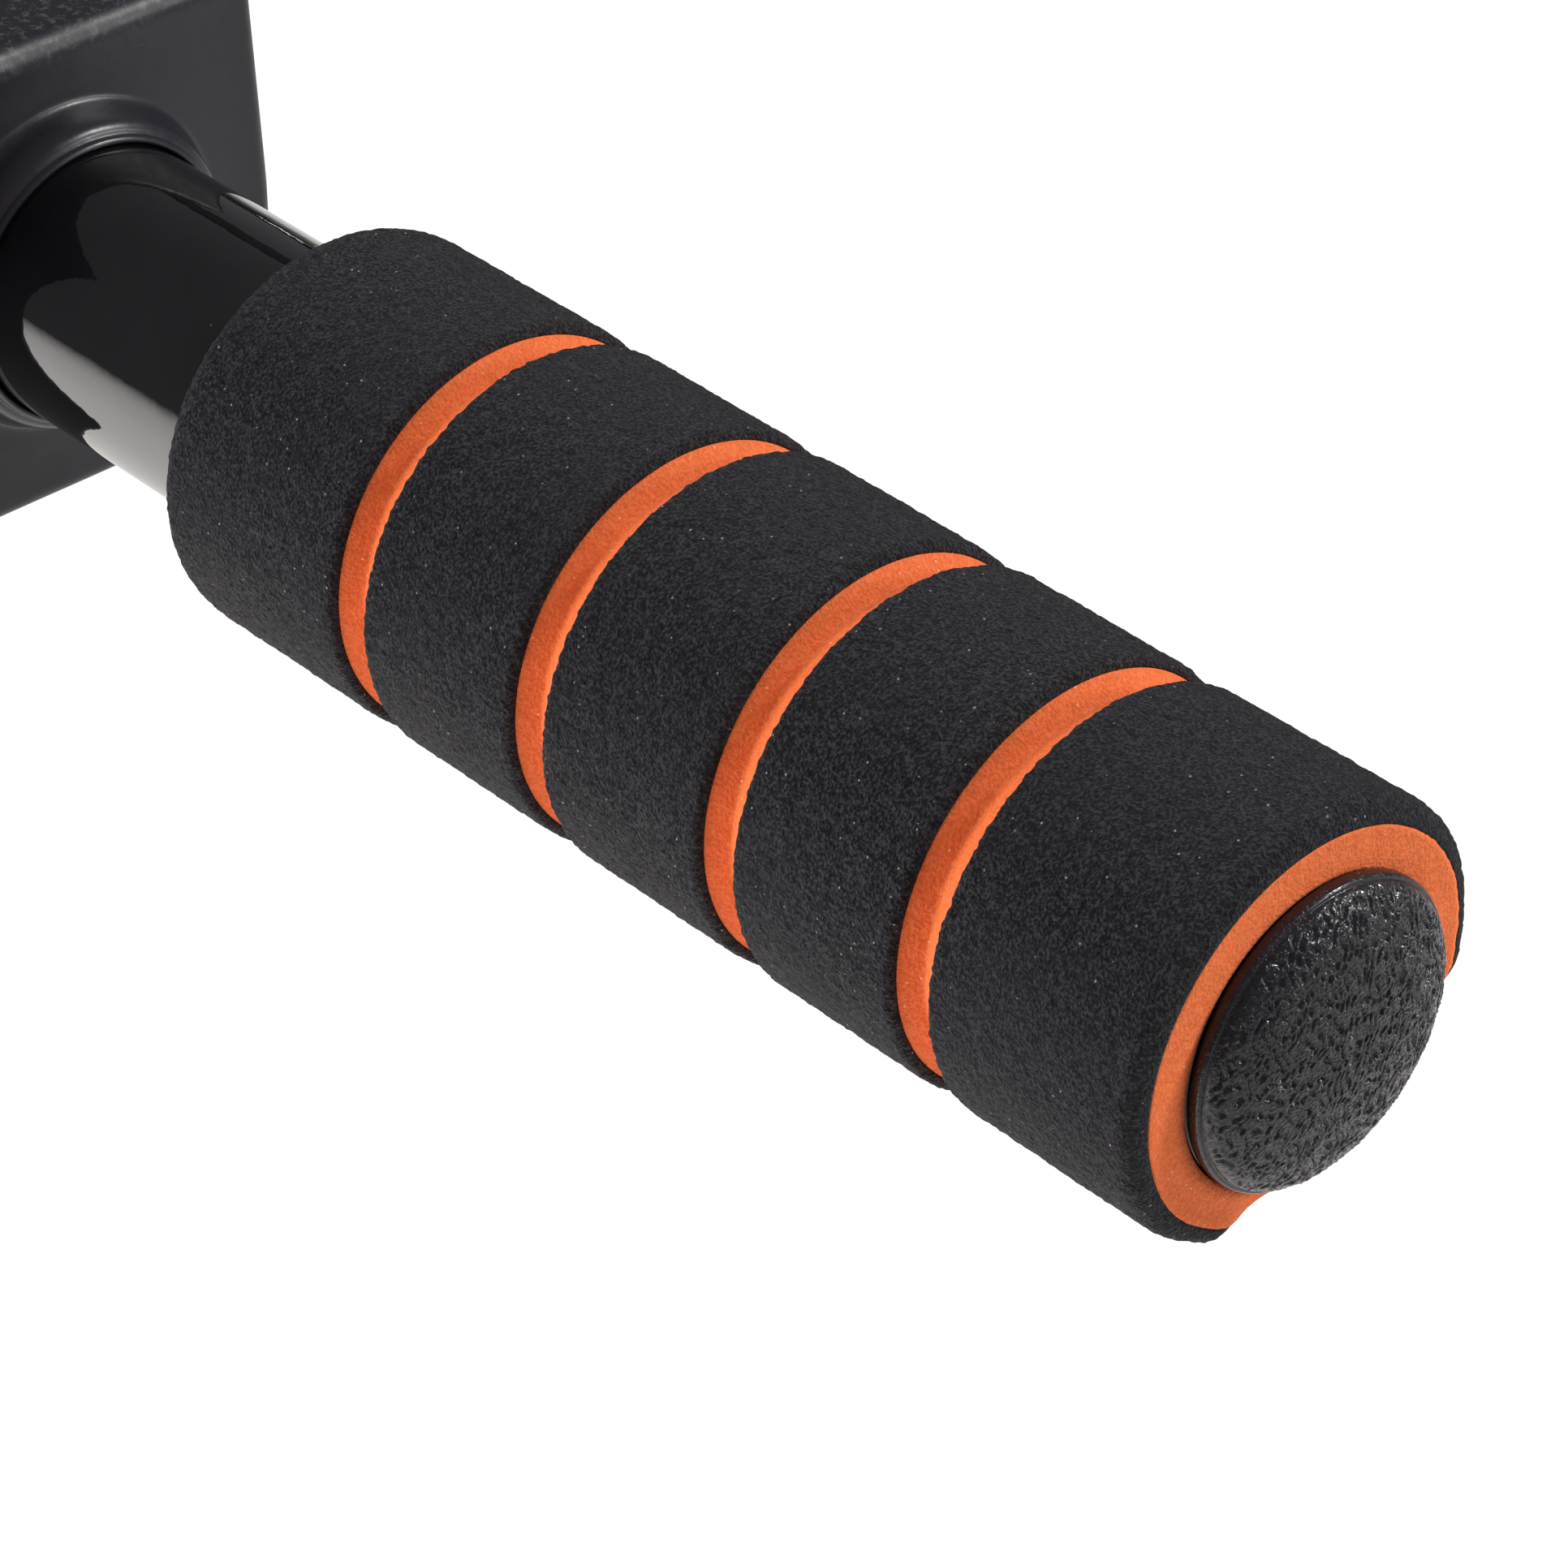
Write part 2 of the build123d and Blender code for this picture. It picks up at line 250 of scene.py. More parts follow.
def sample(g, size, u, w):
    n = g.shape[0]
    x, y = (u / size + 0.5) * n, (w / size + 0.5) * n
    i, j = np.floor(x).astype(int), np.floor(y).astype(int)
    fx, fy = x - i, y - j
    i, j, i1, j1 = i % n, j % n, (i + 1) % n, (j + 1) % n
    return g[j, i] * (1 - fx) * (1 - fy) + g[j, i1] * fx * (1 - fy) + g[j1, i] * (1 - fx) * fy + g[j1, i1] * fx * fy


def smooth(x, a, b):
    t = np.clip((x - a) / (b - a), 0, 1)
    return t * t * (3 - 2 * t)


# ------------------------------------------------------------------ materials
class Nodes:
    """A short way to write a node tree. Coordinates are the object's, turned to mm."""

    def __init__(self, name):
        self.mat = bpy.data.materials.new(name)
        self.mat.use_nodes = True
        self.t = self.mat.node_tree
        self.t.nodes.clear()
        self.out = self.t.nodes.new("ShaderNodeOutputMaterial")
        self.bsdf = self.t.nodes.new("ShaderNodeBsdfPrincipled")
        self.t.links.new(self.bsdf.outputs[0], self.out.inputs[0])
        tc = self.t.nodes.new("ShaderNodeTexCoord")
        mp = self.t.nodes.new("ShaderNodeMapping")
        mp.inputs["Scale"].default_value = (1000, 1000, 1000)
        self.t.links.new(tc.outputs["Object"], mp.inputs["Vector"])
        self.mm = mp.outputs[0]

    def link(self, a, b):
        self.t.links.new(a, b)

    def set(self, **kw):
        for k, v in kw.items():
            self.bsdf.inputs[k.replace("_", " ")].default_value = v

    def stretch(self, x, y, z):
        m = self.t.nodes.new("ShaderNodeMapping")
        m.inputs["Scale"].default_value = (x, y, z)
        self.link(self.mm, m.inputs["Vector"])
        return m.outputs[0]

    def noise(self, scale, detail=3, rough=0.55, vec=None, distortion=0.0):
        n = self.t.nodes.new("ShaderNodeTexNoise")
        n.inputs["Scale"].default_value = scale
        n.inputs["Detail"].default_value = detail
        n.inputs["Roughness"].default_value = rough
        n.inputs["Distortion"].default_value = distortion
        self.link(vec or self.mm, n.inputs["Vector"])
        return n.outputs["Fac"]

    def cells(self, scale, vec=None, feature="F1", rand=1.0):
        n = self.t.nodes.new("ShaderNodeTexVoronoi")
        n.feature = feature
        n.inputs["Scale"].default_value = scale
        n.inputs["Randomness"].default_value = rand
        self.link(vec or self.mm, n.inputs["Vector"])
        return n

    def ramp(self, fac, stops, mode="LINEAR"):
        n = self.t.nodes.new("ShaderNodeValToRGB")
        n.color_ramp.interpolation = mode
        e = n.color_ramp.elements
        while len(e) < len(stops):
            e.new(0.5)
        for el, (p, c) in zip(e, stops):
            el.position = p
            el.color = (c[0], c[1], c[2], 1) if isinstance(c, (tuple, list)) else (c, c, c, 1)
        self.link(fac, n.inputs["Fac"])
        return n.outputs["Color"]

    def math(self, op, a, b=0.0, clamp=False):
        n = self.t.nodes.new("ShaderNodeMath")
        n.operation = op
        n.use_clamp = clamp
        for i, x in enumerate((a, b)):
            if isinstance(x, (int, float)):
                n.inputs[i].default_value = x
            else:
                self.link(x, n.inputs[i])
        return n.outputs[0]

    def mix(self, fac, a, b, blend="MIX"):
        n = self.t.nodes.new("ShaderNodeMix")
        n.data_type = "RGBA"
        n.blend_type = blend
        for sock, x in ((n.inputs[0], fac), (n.inputs[6], a), (n.inputs[7], b)):
            if isinstance(x, (int, float)):
                sock.default_value = x
            elif isinstance(x, tuple):
                sock.default_value = (*x, 1)
            else:
                self.link(x, sock)
        return n.outputs[2]

    def bump(self, height, distance, strength=1.0, normal=None):
        n = self.t.nodes.new("ShaderNodeBump")
        n.inputs["Distance"].default_value = distance
        n.inputs["Strength"].default_value = strength
        self.link(height, n.inputs["Height"])
        if normal is not None:
            self.link(normal, n.inputs["Normal"])
        return n.outputs[0]

    def to(self, socket, value):
        self.link(value, self.bsdf.inputs[socket])


def foam(name, dark, mid, light, speck, sheen, rough_by):
    """Ground closed-cell foam: fine grains, scattered pores, a few pale specks and short fibres."""
    m = Nodes(name)
    grain = m.noise(3.3, 2, 0.6)
    coarse = m.noise(0.9, 3, 0.6)
    patch = m.noise(0.07, 2, 0.5)
    pores = m.cells(2.3)
    mixed = m.math("ADD", m.math("MULTIPLY", grain, 0.8), m.math("MULTIPLY", coarse, 0.2))
    col = m.ramp(mixed, [(0.40, dark), (0.5, mid), (0.60, light)])
    col = m.mix(m.math("MULTIPLY", m.ramp(patch, [(0.35, 0.0), (0.7, 1.0)]), 0.35), col, tuple(c * 1.25 for c in mid))
    # pale specks: the middles of a few small cells
    cell = m.cells(0.9)
    near = m.ramp(cell.outputs["Distance"], [(0.0, 1.0), (0.075, 1.0), (0.115, 0.0)])
    pick = m.ramp(m.math("FRACT", m.math("MULTIPLY", cell.outputs["Color"], 7.31)), [(0.0, 0.0), (0.60, 0.0), (0.66, 1.0)])
    fibre = m.cells(0.5, vec=m.stretch(1.0, 0.22, 1.7))
    fnear = m.ramp(fibre.outputs["Distance"], [(0.0, 1.0), (0.03, 0.8), (0.045, 0.0)])
    fpick = m.ramp(m.math("FRACT", m.math("MULTIPLY", fibre.outputs["Color"], 5.17)), [(0.0, 0.0), (0.50, 0.0), (0.54, 1.0)])
    spots = m.math("MAXIMUM", m.math("MULTIPLY", near, pick), m.math("MULTIPLY", fnear, fpick))
    col = m.mix(m.math("MULTIPLY", spots, 0.75), col, speck)
    m.to("Base Color", col)
    m.to("Roughness", m.ramp(mixed, [(0.3, 0.96), (0.7, 0.82)]))
    m.set(Specular_IOR_Level=0.25, Sheen_Weight=sheen, Sheen_Roughness=0.55, Sheen_Tint=(0.9, 0.9, 0.95, 1))
    pit = m.ramp(pores.outputs["Distance"], [(0.0, 0.0), (0.28, 0.75), (0.6, 1.0)])
    h = m.math("ADD", m.math("MULTIPLY", mixed, 1.2), m.math("MULTIPLY", pit, 0.25))
    m.to("Normal", m.bump(h, 0.0007, rough_by))
    return m.mat


def enamel(name):
    """Deep gloss black enamel: faint orange peel, a few dust nibs under the paint, light handling haze."""
    m = Nodes(name)
    haze = m.noise(0.06, 4, 0.6)
    fine = m.noise(1.6, 3, 0.6)
    col = m.ramp(haze, [(0.3, (0.0035, 0.0035, 0.0042)), (0.7, (0.007, 0.0068, 0.0078))])
    nib = m.cells(0.16)
    dot = m.ramp(nib.outputs["Distance"], [(0.0, 1.0), (0.016, 1.0), (0.03, 0.0)])
    pick = m.ramp(m.math("FRACT", m.math("MULTIPLY", nib.outputs["Color"], 9.7)), [(0.0, 0.0), (0.6, 0.0), (0.65, 1.0)])
    dust = m.math("MULTIPLY", dot, pick)
    col = m.mix(m.math("MULTIPLY", dust, 0.5), col, (0.16, 0.15, 0.15))
    m.to("Base Color", col)
    m.to("Roughness", m.math("ADD", m.ramp(haze, [(0.35, 0.02), (0.75, 0.055)]), m.math("MULTIPLY", dust, 0.3)))
    m.set(Specular_IOR_Level=0.5, IOR=1.5)
    peel = m.noise(0.33, 2, 0.5)
    h = m.math("ADD", m.math("MULTIPLY", peel, 1.0), m.math("ADD", m.math("MULTIPLY", fine, 0.012), m.math("MULTIPLY", dust, 0.9)))
    m.to("Normal", m.bump(h, 0.000022, 1.0))
    return m.mat


def cap_plastic(name):
    """Moulded black plastic: the grain is in the mesh; here its polish, fine flow texture and dust."""
    m = Nodes(name)
    n1, n2 = m.noise(0.9, 4, 0.6), m.noise(7.0, 3, 0.6)
    col = m.ramp(n1, [(0.3, (0.0065, 0.0065, 0.0092)), (0.7, (0.013, 0.013, 0.0178))])
    dust = m.cells(1.4)
    dot = m.math("MULTIPLY", m.ramp(dust.outputs["Distance"], [(0.0, 1.0), (0.05, 0.9), (0.09, 0.0)]),
                 m.ramp(m.math("FRACT", m.math("MULTIPLY", dust.outputs["Color"], 6.3)), [(0.0, 0.0), (0.84, 0.0), (0.88, 1.0)]))
    m.to("Base Color", m.mix(m.math("MULTIPLY", dot, 0.45), col, (0.25, 0.22, 0.19)))
    m.to("Roughness", m.math("ADD", m.ramp(n2, [(0.3, 0.11), (0.7, 0.19)]), m.math("MULTIPLY", n1, 0.05)))
    m.set(Specular_IOR_Level=0.5, IOR=1.5)
    worm = m.noise(2.6, 2, 0.5, distortion=1.2)
    h = m.math("ADD", m.ramp(worm, [(0.40, 0.0), (0.52, 1.0)]), m.math("MULTIPLY", n2, 0.25))
    m.to("Normal", m.bump(h, 0.00003, 0.8))
    return m.mat


def pad_rubber(name):
    """Satin moulded block: soft mould texture, slightly uneven polish, rubbed and dusty edges."""
    m = Nodes(name)
    broad, mid, fine = m.noise(0.035, 3, 0.5), m.noise(0.5, 4, 0.6), m.noise(6.0, 3, 0.65)
    col = m.ramp(broad, [(0.3, (0.0085, 0.0085, 0.0130)), (0.7, (0.013, 0.0128, 0.0190))])
    scuff = m.noise(0.8, 4, 0.7, vec=m.stretch(0.25, 1.0, 2.4))
    scuffed = m.ramp(scuff, [(0.0, 0.0), (0.68, 0.0), (0.82, 1.0)])
    dust = m.cells(0.5)
    dot = m.math("MULTIPLY", m.ramp(dust.outputs["Distance"], [(0.0, 1.0), (0.025, 0.9), (0.045, 0.0)]),
                 m.ramp(m.math("FRACT", m.math("MULTIPLY", dust.outputs["Color"], 8.9)), [(0.0, 0.0), (0.7, 0.0), (0.75, 1.0)]))
    col = m.mix(m.math("MULTIPLY", scuffed, 0.18), col, (0.05, 0.05, 0.056))
    col = m.mix(m.math("MULTIPLY", dot, 0.5), col, (0.16, 0.15, 0.15))
    # the collars are rubbed smoother than the faces, and the top edges are scuffed pale
    sep = m.t.nodes.new("ShaderNodeSeparateXYZ")
    m.link(m.mm, sep.inputs[0])
    height = m.math("DIVIDE", m.math("SUBTRACT", sep.outputs["Z"], float(BAR_Z)), float(PAD_TOP))
    worn = m.math("MULTIPLY", m.ramp(height, [(0.88, 0.0), (0.95, 1.0)]), m.ramp(m.noise(1.1, 4, 0.75), [(0.52, 0.0), (0.62, 1.0)]))
    col = m.mix(m.math("MULTIPLY", worn, 0.45), col, (0.11, 0.11, 0.12))
    m.to("Base Color", col)
    dy, dz = m.math("SUBTRACT", sep.outputs["Y"], float(BAR_Y)), m.math("SUBTRACT", sep.outputs["Z"], float(BAR_Z))
    away = m.math("SQRT", m.math("ADD", m.math("MULTIPLY", dy, dy), m.math("MULTIPLY", dz, dz)))
    collar = m.ramp(m.math("MULTIPLY", away, 0.05), [(0.82, 1.0), (0.90, 0.0)])
    rough = m.math("ADD", m.ramp(mid, [(0.3, 0.38), (0.7, 0.48)]), m.math("MULTIPLY", scuffed, 0.12))
    m.to("Roughness", m.math("SUBTRACT", rough, m.math("MULTIPLY", collar, 0.12)))
    m.set(Specular_IOR_Level=0.5, IOR=1.5)
    h = m.math("ADD", m.math("MULTIPLY", fine, 0.35), m.math("ADD", m.math("MULTIPLY", mid, 1.0), m.math("MULTIPLY", broad, 3.0)))
    m.to("Normal", m.bump(h, 0.00004, 0.7))
    return m.mat


def strip_rubber(name):
    """Extruded rubber: fine lines along the extrusion, chalky bloom."""
    m = Nodes(name)
    lines = m.noise(1.4, 3, 0.6, vec=m.stretch(0.02, 1.0, 1.0))
    bloom = m.noise(0.05, 4, 0.6)
    fine = m.noise(5.0, 3, 0.6)
    col = m.ramp(bloom, [(0.3, (0.014, 0.014, 0.015)), (0.7, (0.032, 0.032, 0.034))])
    m.to("Base Color", m.mix(m.math("MULTIPLY", lines, 0.25), col, (0.045, 0.045, 0.047)))
    m.to("Roughness", m.ramp(lines, [(0.3, 0.55), (0.7, 0.8)]))
    m.set(Specular_IOR_Level=0.4)
    m.to("Normal", m.bump(m.math("ADD", lines, m.math("MULTIPLY", fine, 0.3)), 0.00008, 0.7))
    return m.mat


def zinc(name):
    """Bright zinc plate: fine turning marks, spangle and slight dulling."""
    m = Nodes(name)
    spangle = m.cells(0.55)
    turn = m.noise(3.5, 3, 0.6, vec=m.stretch(0.6, 3.0, 0.6))
    dull = m.noise(0.25, 4, 0.6)
    col = m.ramp(dull, [(0.3, (0.52, 0.53, 0.55)), (0.7, (0.70, 0.70, 0.69))])
    m.to("Base Color", m.mix(0.12, col, spangle.outputs["Color"]))
    m.set(Metallic=1.0)
    m.to("Roughness", m.math("ADD", m.ramp(dull, [(0.3, 0.22), (0.7, 0.38)]), m.math("MULTIPLY", turn, 0.08)))
    m.to("Normal", m.bump(m.math("ADD", turn, m.math("MULTIPLY", dull, 0.5)), 0.00003, 0.6))
    return m.mat


BLACK_FOAM = foam("black_foam", (0.0060, 0.0056, 0.0070), (0.0142, 0.0134, 0.0160), (0.040, 0.038, 0.041), (0.36, 0.34, 0.32), 0.03, 0.75)
ORANGE_FOAM = foam("orange_foam", (0.70, 0.138, 0.036), (0.785, 0.165, 0.047), (0.85, 0.200, 0.064), (0.98, 0.55, 0.34), 0.02, 0.35)
ENAMEL = enamel("black_enamel")
CAP = cap_plastic("cap_plastic")
PAD = pad_rubber("pad_rubber")
STRIP = strip_rubber("strip_rubber")
ZINC = zinc("hardware")

# ------------------------------------------------------------------ camera, floor and lights
END = Vector((MAIN_HALF / 1000, BAR_Y / 1000, BAR_Z / 1000))
cam = bpy.data.objects.new("camera", bpy.data.cameras.new("camera"))
bpy.context.scene.collection.objects.link(cam)
cr, cu, cf = Vector((0.678233, 0.734825, 0.005620)), Vector((-0.429095, 0.389816, 0.814813)), Vector((-0.596547, 0.555050, -0.579695))
pos = END + Vector((0.220002, -0.261254, 0.264622))
cam.matrix_world = Matrix(((cr[0], cu[0], -cf[0], pos[0]), (cr[1], cu[1], -cf[1], pos[1]), (cr[2], cu[2], -cf[2], pos[2]), (0, 0, 0, 1)))
cam.data.lens, cam.data.sensor_width = 125.2889, 36.0
cam.data.clip_start, cam.data.clip_end = 0.01, 100.0
bpy.context.scene.camera = cam
bpy.context.scene.view_settings.view_transform = "Standard"
bpy.context.scene.view_settings.look = "None"

FLOOR_Z = -0.45
POOL = (0.05, -0.60, 2.4, 1.95)      # where the pool starts and is full (Y), and how much it adds to gloss and to soft light
FLOOR_GLOSS, FLOOR_SOFT = 1.0, 1.0


def disc(name, radius, z, rings=24, n=96, inner=0.0):
    vs, fs = [], []
    for i in range(rings + 1):
        r = inner + (radius - inner) * i / rings
        vs += [(r * math.cos(t), r * math.sin(t), z) for t in ring_angles(n)]
    for i in range(rings):
        for j in range(n):
            fs.append((i * n + j, i * n + (j + 1) % n, (i + 1) * n + (j + 1) % n, (i + 1) * n + j)[::-1])
    if inner == 0.0:
        vs = [(0, 0, z)] + [v for v in vs[n:]]
        fs = [(0, 1 + (j + 1) % n, 1 + j)[::-1] for j in range(n)] + [tuple(k - n + 1 for k in f) for f in fs[n:]]
    me = bpy.data.meshes.new(name)
    me.from_pydata(vs, [], fs)
    ob = bpy.data.objects.new(name, me)
    bpy.context.scene.collection.objects.link(ob)
    return ob


def glow(name, build):
    mat = bpy.data.materials.new(name)
    mat.use_nodes = True
    t = mat.node_tree
    t.nodes.clear()
    out = t.nodes.new("ShaderNodeOutputMaterial")
    build(t, out)
    return mat


def floor_tree(t, out):
    """A lit white table: white to the eye, with a brighter pool on the user's side that the gloss picks up."""
    tc, sep = t.nodes.new("ShaderNodeTexCoord"), t.nodes.new("ShaderNodeSeparateXYZ")
    t.links.new(tc.outputs["Object"], sep.inputs[0])

    def calc(op, a, b=0.0):
        n = t.nodes.new("ShaderNodeMath")
        n.operation = op
        for i, x in enumerate((a, b)):
            if isinstance(x, (int, float)):
                n.inputs[i].default_value = x
            else:
                t.links.new(x, n.inputs[i])
        return n.outputs[0]

    def step(value, a, b, lo, hi):
        n = t.nodes.new("ShaderNodeMapRange")
        n.interpolation_type = "SMOOTHSTEP"
        for k, x in (("From Min", a), ("From Max", b), ("To Min", lo), ("To Max", hi)):
            n.inputs[k].default_value = x
        t.links.new(value, n.inputs["Value"])
        return n.outputs[0]

    near = step(sep.outputs["Y"], POOL[0], POOL[1], 0.0, 1.0)
    far = step(sep.outputs["Y"], -1.9, -1.4, 0.0, 1.0)
    side = step(sep.outputs["X"], 0.9, 0.2, 0.0, 1.0)
    pool = calc("MULTIPLY", calc("MULTIPLY", near, far), side)
    path = t.nodes.new("ShaderNodeLightPath")
    reach = t.nodes.new("ShaderNodeVectorMath")
    reach.operation = "LENGTH"
    t.links.new(tc.outputs["Object"], reach.inputs[0])
    fade = step(reach.outputs["Value"], 2.0, 0.9, 0.22, 1.0)
    off_end = step(sep.outputs["X"], 1.4, 0.5, 0.72, 1.0)
    fade = calc("MAXIMUM", fade, calc("MULTIPLY", step(sep.outputs["X"], 0.3, 0.9, 0.0, 1.0), 0.95))
    gloss = calc("MULTIPLY", calc("MULTIPLY", calc("ADD", calc("MULTIPLY", pool, POOL[2]), FLOOR_GLOSS), fade), off_end)
    soft = calc("ADD", calc("MULTIPLY", pool, POOL[3]), FLOOR_SOFT)
    seen = calc("MULTIPLY", path.outputs["Is Camera Ray"], 1.08)
    total = calc("ADD", seen, calc("ADD", calc("MULTIPLY", path.outputs["Is Diffuse Ray"], soft), calc("MULTIPLY", path.outputs["Is Glossy Ray"], gloss)))
    em = t.nodes.new("ShaderNodeEmission")
    em.inputs["Color"].default_value = (1.0, 0.965, 0.94, 1)
    t.links.new(total, em.inputs["Strength"])
    t.links.new(em.outputs[0], out.inputs[0])


def white_tree(t, out):
    em = t.nodes.new("ShaderNodeEmission")
    em.inputs["Color"].default_value, em.inputs["Strength"].default_value = (1, 1, 1, 1), 1.0
    t.links.new(em.outputs[0], out.inputs[0])


floor = disc("floor", 2.0, FLOOR_Z)
floor.data.materials.append(glow("floor_white", floor_tree))
beyond = disc("floor_beyond", 14.0, FLOOR_Z - 0.002, inner=1.9)
beyond.data.materials.append(glow("beyond_white", white_tree))
wall_me = bpy.data.meshes.new("backdrop")
ts = ring_angles(96)
wall_v = [(14 * math.cos(t), 14 * math.sin(t), z) for z in (FLOOR_Z - 0.01, 12.0) for t in ts] + [(0, 0, 12.0)]
wall_f = [(j, (j + 1) % 96, 96 + (j + 1) % 96, 96 + j) for j in range(96)] + [(96 + j, 96 + (j + 1) % 96, 192) for j in range(96)]
wall_me.from_pydata(wall_v, [], wall_f)
wall = bpy.data.objects.new("backdrop", wall_me)
bpy.context.scene.collection.objects.link(wall)
wall.data.materials.append(glow("backdrop_white", white_tree))
for o in (beyond, wall):     # seen behind the object, but they don't light it or show in its gloss
    o.visible_diffuse = o.visible_glossy = o.visible_transmission = o.visible_volume_scatter = o.visible_shadow = False

world = bpy.context.scene.world or bpy.data.worlds.new("studio")
bpy.context.scene.world = world
world.use_nodes = True
wt = world.node_tree
wt.nodes.clear()
bg, wo = wt.nodes.new("ShaderNodeBackground"), wt.nodes.new("ShaderNodeOutputWorld")
bg.inputs["Color"].default_value = (0.95, 0.96, 1.0, 1)
lp, lift = wt.nodes.new("ShaderNodeLightPath"), wt.nodes.new("ShaderNodeMapRange")
lift.inputs["To Min"].default_value, lift.inputs["To Max"].default_value = 0.20, 0.36      # gloss sees a dim room; soft light gets a little more
wt.links.new(lp.outputs["Is Diffuse Ray"], lift.inputs["Value"])
wt.links.new(lift.outputs[0], bg.inputs["Strength"])
wt.links.new(bg.outputs[0], wo.inputs[0])


def lamp(name, direction, energy, degrees, color):
    ob = bpy.data.objects.new(name, bpy.data.lights.new(name, "SUN"))
    bpy.context.scene.collection.objects.link(ob)
    ob.data.energy, ob.data.angle, ob.data.color = energy, math.radians(degrees), color
    ob.rotation_mode = "QUATERNION"
    ob.rotation_quaternion = Vector(direction).to_track_quat("Z", "Y")
    return ob


lamp("key", (0.40, 0.64, 0.66), 2.0, 9, (1.0, 0.99, 0.97))
lamp("rim", (0.75, 0.60, 0.28), 0.95, 16, (1.0, 1.0, 1.0))
fill = lamp("fill", (-0.62, -0.72, 0.30), 3.1, 40, (1.0, 0.99, 0.98))
fill.visible_glossy = False

# ------------------------------------------------------------------ foam grips
SKIN_R, CORE_R, GRIP_R, BORE_R = 19.05, 19.02, 20.0, R + 0.02
NEAR = 0.45                # how much narrower the groove is at its outer side
V_R = 17.5


def band_edges():
    x, out = 0.0, []
    for i, b in enumerate(BANDS):
        a0 = x - (NEAR if i else 0)
        out.append((a0, x + b))
        x += b + GROOVE
    return out


def skin_profile(a0, a1, first, last, step):
    """Closed outline of one black ring, starting at its inner edge on the block side and running over the top."""
    pr = []
    if first:
        pr += [(a0 + 0.9, SKIN_R)] + quarter(a0 + 2.3, 18.35, -2.3, GRIP_R - 18.35, 90, 0, 12)
    else:
        pr += quarter(a0 + 0.95, SKIN_R, -0.95, GRIP_R - SKIN_R, 90, 0, 9)
    if last:
        end = quarter(a1 - 2.0, 18.0, 2.0, GRIP_R - 18.0, 0, 90, 14) + [(a1 - 0.35, 18.0), (a1 - 1.1, SKIN_R)]
    else:
        end = quarter(a1 - 0.95, SKIN_R, 0.95, GRIP_R - SKIN_R, 0, 90, 9)
    top = dense([pr[-1], end[0]], step)
    under = dense([end[-1], pr[0]], 3.0)
    return pr + top[1:-1] + end + under[1:-1]


def core_profile(step):
    edges = band_edges()
    pr = [(0.0, BORE_R)] + dense([(0.0, BORE_R + 0.4), (0.0, 18.3)], step * 1.5) + [(0.85, CORE_R)]
    for (a0, a1), (b0, _) in zip(edges, edges[1:]):
        mid = a1 + 0.40 * (b0 - a1)
        wall = []
        for t in np.linspace(-1, 1, 29):
            # V with its bottom nearer the block side: straight walls, a slightly soft bottom
            k = math.sqrt(t * t + 0.006) - math.sqrt(0.006)
            k /= math.sqrt(1.006) - math.sqrt(0.006)
            wall.append((mid + (mid - a1 if t < 0 else b0 - mid) * t, V_R + (CORE_R - V_R) * k))
        pr += [(a1 - 1.2, CORE_R)] + wall + [(b0 + 1.2, CORE_R)]
    pr += [(GRIP_L - 1.25, CORE_R), (GRIP_L - 0.45, 18.02)] + dense([(GRIP_L - 0.02, 17.98), (GRIP_L, 17.6), (GRIP_L, BORE_R + 0.4)], step * 1.5) + [(GRIP_L, BORE_R)]
    pr += dense([(GRIP_L, BORE_R), (0.0, BORE_R)], 12)[1:-1]
    return pr


def end_cut(g, m_local_len, fine, more=1.0):
    """The outer end was cut by hand: it is short by about 2 mm over part of its far side."""
    if not fine:
        return g
    g = g.copy()
    phi = np.degrees(np.arctan2(g[..., 1], g[..., 2]))
    away = np.abs((phi - 153.0 + 180.0) % 360.0 - 180.0)
    r = np.hypot(g[..., 1], g[..., 2])
    cut = more * (2.2 * smooth(away, 56, 30) + 0.35 * smooth(away, 100, 60))
    g[..., 0] -= cut * smooth(g[..., 0], m_local_len - 9.0, m_local_len - 0.5) * smooth(r, 14.6, 16.5)
    return g


